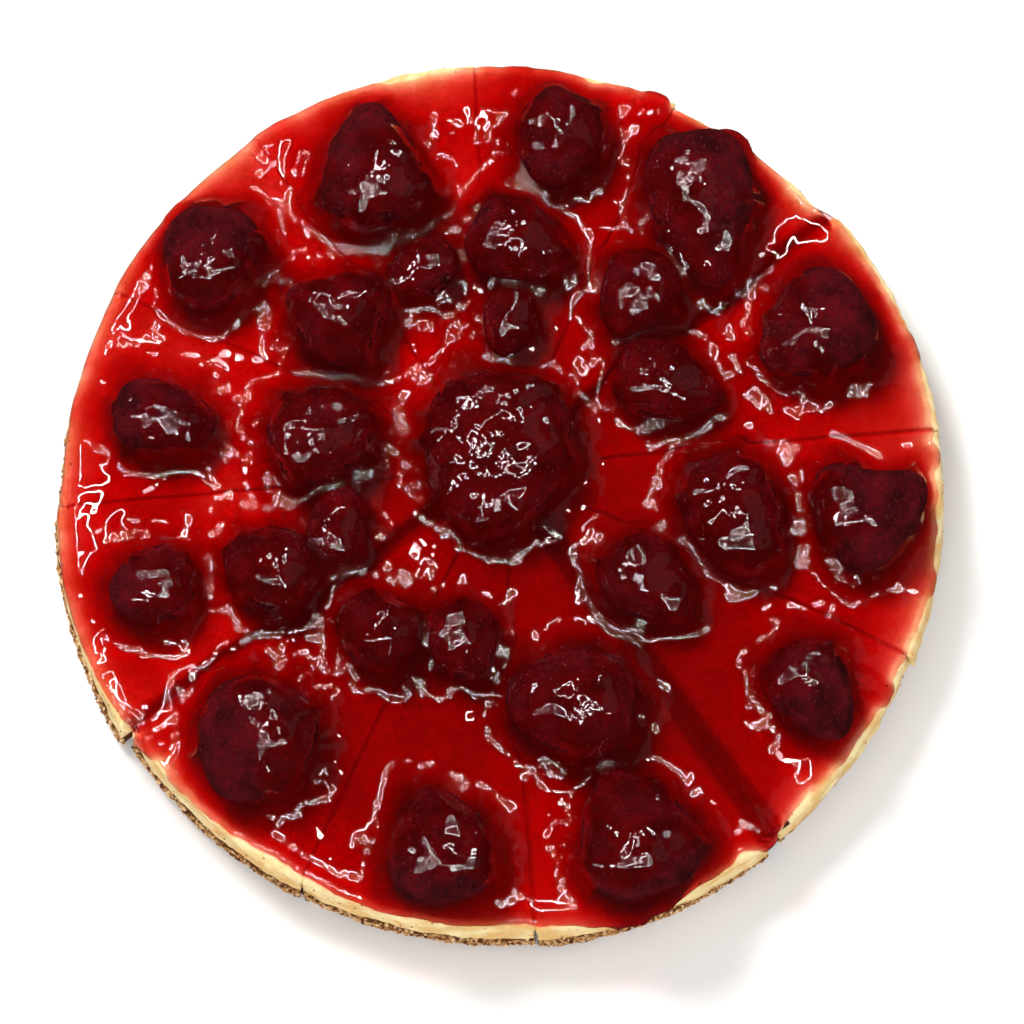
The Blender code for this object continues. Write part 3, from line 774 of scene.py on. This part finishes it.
def rim_share(places):
    """How much of each step of the rim belongs to one of these places, given as direction and half width."""
    shares = [np.exp(-(angle_from(direction) / half_width) ** 2) for direction, half_width in places]
    return np.max(shares, axis=0)


# The cream's round edge is closed over the cuts within this many steps, and evened out over this many
CLOSING = 6
EVENING = 8


def shoulder_start():
    """The radius at which the cream's top begins to turn down, round the rim."""
    radius = np.zeros(RIM_STEPS)
    for plan in CREAM_PLANS:
        first, sweep = arc(plan.start, plan.end)
        inside = (RIM_ANGLES - first) % math.tau <= sweep
        radius[inside] = plan.radius
    empty = radius == 0
    radius[empty] = np.interp(RIM_ANGLES[empty], RIM_ANGLES[~empty], radius[~empty])
    highest = np.max([np.roll(radius, shift) for shift in range(-CLOSING, CLOSING + 1)], axis=0)
    return smooth_round(highest, EVENING) - CREAM_LEAN - SHOULDER


# The edge wanders by noise of these heights and sizes, each from its own place in the noise, and by the last
# of them only where the gel thins out
WANDER = [(0.45 * MM, 3.2 * MM, 0.0), (0.5 * MM, 13 * MM, 3.0), (1.1 * MM, 4.5 * MM, 7.0)]
EDGE_WINDOW = math.radians(1.8)


def gel_reach(flat):
    """How far the gel reaches over the top and down the wall round the rim, along the cream's surface."""
    points = node_points(GEL_NODE)
    outer = points[np.hypot(points[:, 0], points[:, 1]) > flat.min() - 3 * MM]
    angles = np.arctan2(outer[:, 1], outer[:, 0]) % math.tau
    radii = np.hypot(outer[:, 0], outer[:, 1])
    edge = np.array([radii[np.abs((angles - angle + math.pi) % math.tau - math.pi) < EDGE_WINDOW].max()
                     for angle in RIM_ANGLES])
    past = np.clip((smooth_round(edge, 3) - flat) / SHOULDER, -1, 1)
    reach = flat + SHOULDER * np.where(past > 0, np.arcsin(np.maximum(past, 0)), past)
    for drip in DRIPS + OVERRUNS:
        reach += drip.run * np.exp(-(angle_from(drip.direction) / drip.half_width) ** 4)
    rim = polar_points(flat, RIM_ANGLES, np.zeros(RIM_STEPS))
    shares = (1.0, 1.0, rim_share(THIN_RIMS))
    fine, broad, thinned = (height * share * unevenness(rim, size, shift)
                            for (height, size, shift), share in zip(WANDER, shares))
    return reach + (fine + broad) + thinned


def polar_points(radius, angles, heights):
    """Points at these radii, angles and heights."""
    return np.column_stack([radius * np.cos(angles), radius * np.sin(angles), heights])


def sample_round(values, angles):
    """Read values that go round the rim at any angles."""
    return np.interp(angles % math.tau, np.append(RIM_ANGLES, math.tau), np.append(values, values[0]))


def over_cream(flat, along, offset):
    """Radius and height of a point this far along the cream's surface and this far off it."""
    turn = np.clip((along - flat) / SHOULDER, 0, math.pi / 2)
    down = np.maximum(along - flat - SHOULDER * math.pi / 2, 0)
    radius = np.minimum(along, flat) + (SHOULDER + offset) * np.sin(turn) + CREAM_LEAN * down / (
        CREAM_TOP - SHOULDER - CREAM_BOTTOM)
    height = CREAM_TOP - SHOULDER + (SHOULDER + offset) * np.cos(turn) - down
    return radius, height


# The drape is worked out on a square grid of this step and half width, in rounds that let the gel sink
# between the berries and then in rounds that even it out
DRAPE_STEP = 0.6 * MM
DRAPE_HALF = 130 * MM
DRAPE_ROUNDS = 220
EVEN_ROUNDS = 14

# The thinnest film over a berry, and how restless the gel's surface is for its slope
LEAST_FILM = 0.3 * MM
RESTLESS_SLOPE = 2.4

# The slope's reach varies by up to this power of two from place to place, over this distance
CLIMB_OCTAVES = 1.0
CLIMB_SIZE = 11 * MM

# Over a wide cut the gel sinks by this share of the cut's width, within this distance of it
GROOVE_DENT = 0.04
GROOVE_REACH = 4.5 * MM


def distance_to_cut(x, y, cut):
    """How far each point in plan is from the middle line of a cut."""
    along = (x - cut.start.x) * cut.line.x + (y - cut.start.y) * cut.line.y
    across = np.abs((x - cut.start.x) * cut.line.y - (y - cut.start.y) * cut.line.x)
    return np.where(along > 0, across, np.hypot(x - cut.start.x, y - cut.start.y))


def open_gel_level(x, y, sizes):
    """The height above the cream that the gel would have with no berries in it."""
    level = np.full(x.shape, sizes.gel_level)
    for spot in SPOTS:
        level += spot.change * np.exp(-((x - spot.x) ** 2 + (y - spot.y) ** 2) / spot.radius ** 2)
    for cut in CUTS:
        if cut.width > WIDE_CUT:
            level -= GROOVE_DENT * cut.width * np.exp(-(distance_to_cut(x, y, cut) / GROOVE_REACH) ** 2)
    return level


def around(values):
    """The mean of the four neighbours of each place on a square grid."""
    north, south, east, west = (np.roll(values, by, axis) for axis in (0, 1) for by in (1, -1))
    return (north + south + east + west) / 4


def drape(berries, sizes):
    """The gel on a square grid: the grid's steps, height, least height, restlessness and covered berries."""
    steps = np.arange(-DRAPE_HALF, DRAPE_HALF + DRAPE_STEP, DRAPE_STEP)
    x, y = np.meshgrid(steps, steps, indexing="ij")
    level = open_gel_level(x, y, sizes)
    held = np.full(x.shape, -1.0)
    for berry in berries:
        tree = BVHTree.FromObject(berry, bpy.context.evaluated_depsgraph_get())
        corners = np.array(berry.bound_box)
        low = np.searchsorted(steps, corners.min(0)[:2])
        high = np.searchsorted(steps, corners.max(0)[:2])
        for i in range(low[0], high[0]):
            for j in range(low[1], high[1]):
                hit = tree.ray_cast((steps[i], steps[j], 2 * CAKE_TOP), (0, 0, -1))[0]
                if hit:
                    held[i, j] = max(held[i, j], hit.z - CREAM_TOP)
    covered = held > 0
    least = held + LEAST_FILM
    held = np.where(covered, held + sizes.gel_film, held)
    height = np.maximum(level, held)
    places = np.column_stack([x.ravel(), y.ravel(), np.zeros(x.size)])
    climb = sizes.gel_climb * 2 ** (CLIMB_OCTAVES * unevenness(places, CLIMB_SIZE, 6.0).reshape(x.shape))
    pull = (DRAPE_STEP / climb) ** 2 / 4
    for _ in range(DRAPE_ROUNDS):
        height = np.maximum((around(height) + pull * level) / (1 + pull), held)
    for _ in range(EVEN_ROUNDS):
        height = np.maximum((height + around(height)) / 2, least)
    slope = np.hypot(*np.gradient(height, DRAPE_STEP))
    return steps, height, least, np.clip(RESTLESS_SLOPE * slope, 0, 1), covered


def read_grid(steps, values, x, y):
    """Read a square grid of values at any points in plan."""
    across = np.clip((np.array([x, y]) - steps[0]) / DRAPE_STEP, 0, len(steps) - 1.001)
    cell = across.astype(int)
    part = across - cell
    (i, j), (u, v) = cell, part
    return ((values[i, j] * (1 - u) + values[i + 1, j] * u) * (1 - v)
            + (values[i, j + 1] * (1 - u) + values[i + 1, j + 1] * u) * v)


# The gel's mesh has rings this close together at its edge
FINE_RINGS = 8
FINE_STEP = 0.3 * MM


def disc_grid(rings):
    """A square grid laid over a disc: each vertex's rings from the edge and angle, the faces, the edge."""
    side = 2 * rings + 1
    line = np.arange(side) - rings
    u, v = np.meshgrid(line, line, indexing="ij")
    ring = np.maximum(np.abs(u), np.abs(v))
    wide = np.abs(u) >= np.abs(v)
    flat_u = np.where(u == 0, 1, u)
    flat_v = np.where(v == 0, 1, v)
    angle = np.where(wide, math.pi / 4 * v / flat_u + np.where(u > 0, 0, math.pi),
                     math.pi / 2 - math.pi / 4 * u / flat_v + np.where(v > 0, 0, math.pi))
    index = np.arange(side * side).reshape(side, side)
    quads = np.stack([index[:-1, :-1], index[1:, :-1], index[1:, 1:], index[:-1, 1:]], -1).reshape(-1, 4)
    edge = np.concatenate([index[:, 0], index[-1, 1:], index[-2::-1, -1], index[0, -2:0:-1]])
    return (rings - ring).ravel(), np.where(ring > 0, angle, 0).ravel(), quads, edge


# The rounded bead at the gel's edge, how far inside it the gel nears its full height, and how thick the edge
# is for its size, with what a thin and a blunt rim add to each
BEAD = (1.3 * MM, 0.0, 0.5 * MM)
FALL_OFF = (3.4 * MM, 5 * MM, -1.4 * MM)
EDGE_SHARE = (1.0, -0.7, 1.0)

# How thick the gel hangs on the wall, and how far inside the shoulder it begins to thin to that
ON_WALL = 1.0 * MM
LAP = 1.5 * MM


def gel_thickness(flat, along, reach, full, thin, blunt, sizes):
    """The gel's thickness from its full height to its rounded edge, finer or blunter at some of the rim."""
    bead, fall_off, edge_share = (plain + by_thin * thin + by_blunt * blunt
                                  for plain, by_thin, by_blunt in (BEAD, FALL_OFF, EDGE_SHARE))
    inside = np.maximum(reach - along, 0)
    rounded = np.sqrt(np.clip(1 - (1 - np.minimum(inside / bead, 1)) ** 2, 0, 1))
    down = np.clip((along - flat + LAP) / (SHOULDER * math.pi / 2 + LAP), 0, 1)
    full = full * (1 - down) + ON_WALL * (1 + blunt) * down
    fullness = 1 - np.exp(-np.maximum(inside - bead, 0) / fall_off)
    edge = sizes.gel_edge * edge_share
    return edge * rounded + (full - edge) * fullness


# How far the waves' height changes across the cake: by one over this distance, within these limits
LIVELY_REACH = 100 * MM
LIVELY_LEAST = -0.3
LIVELY_MOST = 0.6

# How strong each kind of wave is on open gel, with what a steep slope and a berry underneath add
Waves = namedtuple("Waves", "open steep covered")
RIPPLES = Waves(1.0, 0.0, -0.6)
WRINKLES = Waves(0.4, 0.6, 0.6)
CHOP = Waves(0.0, 0.6, -0.1)

# The gel's underside lies this far inside the cream, begins this far in from the edge and is this many rings
UNDER_DEPTH = 0.25 * MM
UNDER_INSET = 0.5 * MM
UNDER_RINGS = 7


def gel_height(berries, x, y, sizes):
    """The gel's height above the cream at points in plan: draped over the berries, and uneven all over."""
    steps, height, least, steep, covered = drape(berries, sizes)
    places = np.column_stack([x, y, np.zeros(len(x))])
    # The slopes where it climbs the berries are bent out of round, but stay above the berries
    bend_x, bend_y = (sizes.bend * unevenness(places, sizes.bend_size, shift) for shift in (20.0, 40.0))
    bent = read_grid(steps, height, x + bend_x, y + bend_y)
    above = bent - read_grid(steps, least, x, y)
    full = bent + (np.hypot(above, 2 * LEAST_FILM) - above) / 2
    cover = read_grid(steps, covered.astype(float), x, y)
    restless = np.maximum(read_grid(steps, steep, x, y), cover)
    points = np.column_stack([x, y, full])
    # The waves are livelier towards the back left, as in the photograph
    lively = 1 + np.clip((0.5 * y - x) / LIVELY_REACH, LIVELY_LEAST, LIVELY_MOST)
    ripple, wrinkle, chop = (
        height * unevenness(points, size, shift) * (kind.open + kind.steep * restless + kind.covered * cover)
        for kind, height, size, shift in (
            (RIPPLES, sizes.ripple_height, sizes.ripple_size, 0.0),
            (WRINKLES, sizes.wrinkle_height, sizes.wrinkle_size, 4.0),
            (CHOP, sizes.chop_height, sizes.chop_size, 8.0)))
    return full + lively * (ripple + wrinkle) + chop


def gel_underside(flat, reach, angles, ring, total):
    """The gel's underside, from its edge inwards: its points and faces, when so many points come before."""
    points, faces, count = [], [], len(ring)
    for share in np.linspace(0, 1, UNDER_RINGS):
        along = (reach - UNDER_INSET) * (1 - share) + (flat - LAP) * share
        radius, low = over_cream(flat, along, -UNDER_DEPTH)
        points.append(polar_points(radius, angles, low))
        new = np.arange(total, total + count)
        total += count
        faces += [(ring[k], new[k], new[(k + 1) % count], ring[(k + 1) % count]) for k in range(count)]
        ring = new
    return points, [*faces, ring[::-1]]


def make_gel(berries, sizes, material):
    """The gel: one closed sheet that hugs the berries, drips down the wall and fills the grooves."""
    from_edge, angles, quads, edge = disc_grid(sizes.gel_rings)
    flat_round = shoulder_start()
    flat, reach = (sample_round(values, angles) for values in (flat_round, gel_reach(flat_round)))
    fine = FINE_RINGS * FINE_STEP
    inner = (reach - fine) * (sizes.gel_rings - from_edge) / (sizes.gel_rings - FINE_RINGS)
    along = np.where(from_edge < FINE_RINGS, reach - from_edge * FINE_STEP, inner)
    radius = np.minimum(along, flat)
    full = gel_height(berries, radius * np.cos(angles), radius * np.sin(angles), sizes)
    thin, blunt = (sample_round(rim_share(places), angles) for places in (THIN_RIMS, BLUNT_RIMS))
    radius, top = over_cream(flat, along, gel_thickness(flat, along, reach, full, thin, blunt, sizes))
    below, walls = gel_underside(flat[edge], reach[edge], angles[edge], edge, len(angles))
    points = np.vstack([polar_points(radius, angles, top), *below])
    faces = [tuple(map(int, face)) for face in [*quads, *walls]]
    mesh = new_mesh("gel_sheet", points.tolist(), faces, material)
    mesh.polygons.foreach_set("use_smooth", [True] * (len(faces) - 1) + [False])
    item = new_object("gel_sheet", mesh)
    fill = make_gel_fill(material)
    join = item.modifiers.new("fill", "BOOLEAN")
    join.operation = "UNION"
    join.solver = "MANIFOLD"
    join.object = fill
    run_modifiers(item)
    bpy.data.objects.remove(fill)
    finish_piece(item, "gel", GEL_NODE)


# The gel in a groove lies this far inside the cream beside it, and its top this far inside the sheet above,
# with its edges drawn out by this much; round the shoulder it stays this far under the cream's surface
FILL_INSIDE = 0.2 * MM
FILL_TOP = CREAM_TOP + 0.3 * MM
FILL_LIP = 0.05 * MM
FILL_UNDER = 0.1 * MM
SHOULDER_STATIONS = (20, 40, 60, 80)


def fill_section(cut):
    """The gel's section in a groove, a little inside the cream on both sides, up to the cream's top."""
    kind = groove(cut)
    half = cut.width / 2 + FILL_INSIDE
    top = CREAM_TOP - FILL_INSIDE
    section = [(-half, CREAM_TOP - kind.depth - FILL_INSIDE)]
    for step in range(5):
        turn = math.pi / 2 * step / 4
        across = -half - kind.rounding * (1 - math.cos(turn))
        section.append((across, top - kind.rounding * (1 - math.sin(turn))))
    section.append((-half - kind.rounding - FILL_LIP, FILL_TOP))
    return section + [(-across, height) for across, height in reversed(section)]


def fill_stations(cut):
    """Places along a cut, each with the height that the gel fills up to: level, then round the shoulder."""
    flat = cut.radius - CREAM_LEAN - SHOULDER
    start = cut.start + cut.line * groove(cut).begin
    stations = [(start, FILL_TOP), (reach_circle(start, cut.line, flat), FILL_TOP)]
    for degrees in SHOULDER_STATIONS:
        turn = math.radians(degrees)
        highest = CREAM_TOP - SHOULDER * (1 - math.cos(turn)) - FILL_UNDER
        if highest > CREAM_TOP - groove(cut).depth:
            place = reach_circle(start, cut.line, flat + (SHOULDER - FILL_INSIDE) * math.sin(turn))
            stations.append((place, highest))
    return stations


def make_gel_fill(material):
    """The gel that has run down into the grooves, as one solid along each cut."""
    verts, faces = [], []
    for cut in CUTS:
        section, side = fill_section(cut), left_of(cut.line)
        first, count = len(verts), len(section)
        stations = fill_stations(cut)
        for place, highest in stations:
            for across, height in section:
                point = place + side * across
                verts.append((point.x, point.y, min(height, highest)))
        for ring in range(first, first + count * (len(stations) - 1), count):
            faces += [(ring + k, ring + count + k, ring + count + (k + 1) % count, ring + (k + 1) % count)
                      for k in range(count)]
        faces.append(tuple(range(first, first + count)))
        faces.append(tuple(range(len(verts) - 1, len(verts) - count - 1, -1)))
    return new_object("gel_fill", new_mesh("gel_fill", verts, faces, material))


class CAKE_OT_crumb_base(Operator):
    """Make the twelve slices of the biscuit crumb base"""
    bl_idname = "cake.crumb_base"
    bl_label = "Crumb base"

    def execute(self, context):
        material = crumb_material(context.scene.cake_colours)
        grains = grain_tree()
        for node in CRUMB_NODES:
            make_crumb_slice(node, context.scene.cake_sizes, material, grains)
        return {"FINISHED"}


class CAKE_OT_cream(Operator):
    """Make the twelve slices of the baked cream"""
    bl_idname = "cake.cream"
    bl_label = "Cream"

    def execute(self, context):
        material = cream_material(context.scene.cake_colours)
        crumb_look = bpy.data.materials["buttered_biscuit_crumb"]
        crumbs = bpy.data.node_groups["scattered_grains"]
        for index, node in enumerate(CREAM_NODES):
            make_cream_slice(index, node, context.scene.cake_sizes, material, crumbs, crumb_look)
        return {"FINISHED"}


class CAKE_OT_berries(Operator):
    """Make the whole strawberries with their dimples and seeds"""
    bl_idname = "cake.berries"
    bl_label = "Strawberries"

    def execute(self, context):
        skin = berry_material(context.scene.cake_colours)
        shell = seed_material(context.scene.cake_colours)
        tree = berry_tree()
        for number, node in enumerate(BERRY_NODES, 1):
            make_berry(number, node, context.scene.cake_sizes, tree, skin, shell)
        return {"FINISHED"}


class CAKE_OT_gel(Operator):
    """Lay the gel over the cream and the strawberries, and let it run into the wide cuts"""
    bl_idname = "cake.gel"
    bl_label = "Gel"

    def execute(self, context):
        berries = [item for item in context.scene.objects if item.name.startswith("berry_")]
        if not berries:
            raise RuntimeError("make the strawberries before the gel")
        make_gel(berries, context.scene.cake_sizes, gel_material())
        return {"FINISHED"}


# The camera stands this far off, at the photograph's angle, and looks this far right of and above the origin
CAMERA_DISTANCE = 1.6
CAMERA_ELEVATION = 79.3
CAMERA_LENS = 195.2
CAMERA_RIGHT = 2.9 * MM
CAMERA_UP = -0.76 * MM

# Light frames that a wet surface shows as thin loops, and plain panels: direction, elevation, half width,
# half height, turn, and the brightness of the line and of what it encloses
LightFrame = namedtuple("LightFrame", "direction elevation half_width half_height turn line fill")
LIGHT_FRAMES = [
    LightFrame(268, 75, 5, 7, -15, 84, 0), LightFrame(232, 60, 5, 8, -20, 84, 0),
    LightFrame(310, 57, 6, 8, 25, 84, 0), LightFrame(148, 61, 6, 9, -30, 84, 0),
    LightFrame(62, 54, 6, 9, 35, 80, 0), LightFrame(200, 46, 6, 9, 15, 72, 0),
    LightFrame(108, 67, 3, 4.5, 20, 84, 0), LightFrame(300, 70, 1.5, 4, 40, 0, 7),
    LightFrame(120, 70, 1.5, 4, 60, 0, 7), LightFrame(5, 42, 24, 20, 0, 0, 0.07)]

# The half width of a frame's line as a share of the frame's own, and of that the part that is fully bright
FRAME_LINE = 0.032
LINE_CORE = 0.7

# Strengths of the room's even light and of the dark room that the gloss mirrors, and the colour it mirrors
ROOM_LIGHT = 0.66
DARK_ROOM = 0.012
SHINE = (1, 0.87, 0.9, 1)

# Lamps: direction, elevation, size and power, all at one distance
LAMPS = {"key": (125, 52, 0.45, 20), "front": (265, 20, 0.5, 9), "right": (10, 32, 0.6, 3.5)}
LAMP_DISTANCE = 1.5
FLOOR_HALF = 3.0


def sky_direction(direction, elevation):
    """The unit vector towards a direction and an elevation, both in degrees."""
    turn = Matrix.Rotation(math.radians(direction), 3, "Z")
    return turn @ Matrix.Rotation(-math.radians(elevation), 3, "Y") @ Vector((1, 0, 0))


def frame_light(tree, place, light):
    """The brightness of one light frame in each direction of the world."""
    centre = sky_direction(light.direction, light.elevation)
    side = centre.cross(Vector((0, 0, 1))).normalized()
    side.rotate(Matrix.Rotation(math.radians(light.turn), 3, centre))
    upright = centre.cross(side)
    powers = []
    for axis, half in ((side, light.half_width), (upright, light.half_height)):
        share = add(tree, "ShaderNodeVectorMath", {
            0: place, 1: axis / math.sin(math.radians(half))}, operation="DOT_PRODUCT").outputs["Value"]
        square = add(tree, "ShaderNodeMath", {0: share, 1: share}, operation="MULTIPLY")
        powers.append(add(tree, "ShaderNodeMath", {0: square, 1: square}, operation="MULTIPLY"))
    total = add(tree, "ShaderNodeMath", {0: powers[0], 1: powers[1]}, operation="ADD")
    norm = add(tree, "ShaderNodeMath", {0: total, 1: 0.25}, operation="POWER")
    off = add(tree, "ShaderNodeMath", {0: norm, 1: 1.0}, operation="SUBTRACT")
    away = add(tree, "ShaderNodeMath", {0: off}, operation="ABSOLUTE")
    line = add(tree, "ShaderNodeMapRange", {
        "Value": away, "From Min": FRAME_LINE, "From Max": FRAME_LINE * LINE_CORE,
        "To Min": 0.0, "To Max": light.line})
    inside = add(tree, "ShaderNodeMath", {0: norm, 1: 1.0}, operation="LESS_THAN")
    both = add(tree, "ShaderNodeMath", {0: inside, 1: light.fill, 2: line}, operation="MULTIPLY_ADD")
    ahead = add(tree, "ShaderNodeVectorMath", {
        0: place, 1: centre}, operation="DOT_PRODUCT").outputs["Value"]
    near = add(tree, "ShaderNodeMath", {0: ahead, 1: 0.5}, operation="GREATER_THAN")
    return add(tree, "ShaderNodeMath", {0: both, 1: near}, operation="MULTIPLY")


def make_world():
    """Soft even light all round, and for the gloss a dark room with bright light frames overhead."""
    world = bpy.data.worlds.new("studio")
    bpy.context.scene.world = world
    world.use_nodes = True
    tree = world.node_tree
    tree.nodes.clear()
    place = add(tree, "ShaderNodeTexCoord").outputs["Generated"]
    bright = DARK_ROOM
    for light in LIGHT_FRAMES:
        bright = add(tree, "ShaderNodeMath", {0: frame_light(tree, place, light), 1: bright}, operation="ADD")
    path = add(tree, "ShaderNodeLightPath").outputs
    straight = add(tree, "ShaderNodeMath", {0: path["Diffuse Depth"], 1: 0.5}, operation="LESS_THAN")
    gloss = add(tree, "ShaderNodeMath", {0: path["Is Glossy Ray"], 1: straight}, operation="MULTIPLY")
    # The cream and berries already get the room's light straight through the gel, so a bounce that leaves
    # through it adds none
    under = add(tree, "ShaderNodeMath", {0: 1.0, 1: straight}, operation="SUBTRACT")
    out = add(tree, "ShaderNodeMath", {0: path["Is Transmission Ray"], 1: under}, operation="MULTIPLY")
    even = add(tree, "ShaderNodeMapRange", {"Value": out, "To Min": ROOM_LIGHT, "To Max": 0.0})
    room = add(tree, "ShaderNodeBackground", {"Color": (1, 1, 1, 1), "Strength": even})
    shine = add(tree, "ShaderNodeBackground", {"Color": SHINE, "Strength": bright})
    mix = add(tree, "ShaderNodeMixShader", {0: gloss, 1: room, 2: shine})
    add(tree, "ShaderNodeOutputWorld", {"Surface": mix})


def make_lamp(name, direction, elevation, size, power):
    """A soft square lamp that lights the cake and isn't itself seen in its gloss."""
    lamp = bpy.data.lights.new(name, "AREA")
    lamp.size = size
    lamp.energy = power
    item = new_object(name, lamp)
    away = sky_direction(direction, elevation)
    item.location = away * LAMP_DISTANCE
    item.rotation_euler = away.to_track_quat("Z", "Y").to_euler()
    item.visible_glossy = False


def make_camera():
    """The camera at the photograph's angle."""
    camera = bpy.data.cameras.new("camera")
    camera.lens = CAMERA_LENS
    item = new_object("camera", camera)
    tilt = math.radians(CAMERA_ELEVATION)
    towards = Vector((0, -math.cos(tilt), math.sin(tilt)))
    up = Vector((0, math.sin(tilt), math.cos(tilt)))
    item.location = towards * CAMERA_DISTANCE + Vector((CAMERA_RIGHT, 0, 0)) + up * CAMERA_UP
    item.rotation_euler = towards.to_track_quat("Z", "Y").to_euler()
    bpy.context.scene.camera = item


def make_floor():
    """A plain white floor."""
    material, tree = new_material("white_paper")
    tone = ramp_colours(tree, noise_socket(tree, 300 * MM), {0.3: linear("F2F2F2"), 0.7: linear("F5F5F5")})
    finish_material(material, tone, roughness=0.9, specular=0.0)
    corners = [(FLOOR_HALF * x, FLOOR_HALF * y, 0) for x, y in ((-1, -1), (1, -1), (1, 1), (-1, 1))]
    floor = new_object("floor", new_mesh("floor", corners, [(0, 1, 2, 3)], material))
    floor.visible_glossy = False


class CAKE_OT_stage(Operator):
    """Make the floor, the lights and the camera"""
    bl_idname = "cake.stage"
    bl_label = "Stage"

    def execute(self, context):
        context.scene.view_settings.view_transform = "Standard"
        make_floor()
        make_world()
        for name, settings in LAMPS.items():
            make_lamp(name, *settings)
        make_camera()
        return {"FINISHED"}


class CAKE_PT_looks(Panel):
    """The steps that dress the cake, in order"""
    bl_idname = "CAKE_PT_looks"
    bl_label = "Strawberry cheesecake"
    bl_space_type = "VIEW_3D"
    bl_region_type = "UI"
    bl_category = "Cake"

    def draw(self, context):
        for operator in OPERATORS:
            self.layout.operator(operator.bl_idname)
        for group in (context.scene.cake_sizes, context.scene.cake_colours):
            box = self.layout.box()
            for name in group.bl_rna.properties.keys():
                if name not in ("rna_type", "name"):
                    box.prop(group, name)


OPERATORS = (CAKE_OT_stage, CAKE_OT_crumb_base, CAKE_OT_cream, CAKE_OT_berries, CAKE_OT_gel)
CLASSES = (CakeSizes, CakeColours, *OPERATORS, CAKE_PT_looks)


def register():
    """Register the classes and hang the settings on the scene."""
    for item in CLASSES:
        bpy.utils.register_class(item)
    bpy.types.Scene.cake_sizes = PointerProperty(type=CakeSizes)
    bpy.types.Scene.cake_colours = PointerProperty(type=CakeColours)


def unregister():
    """Take the settings off the scene and unregister the classes."""
    del bpy.types.Scene.cake_colours
    del bpy.types.Scene.cake_sizes
    for item in reversed(CLASSES):
        bpy.utils.unregister_class(item)


def main():
    """Register the steps and dress the cake."""
    register()
    bpy.ops.cake.stage()
    bpy.ops.cake.crumb_base()
    bpy.ops.cake.cream()
    bpy.ops.cake.berries()
    bpy.ops.cake.gel()


if __name__ == "__main__":
    main()
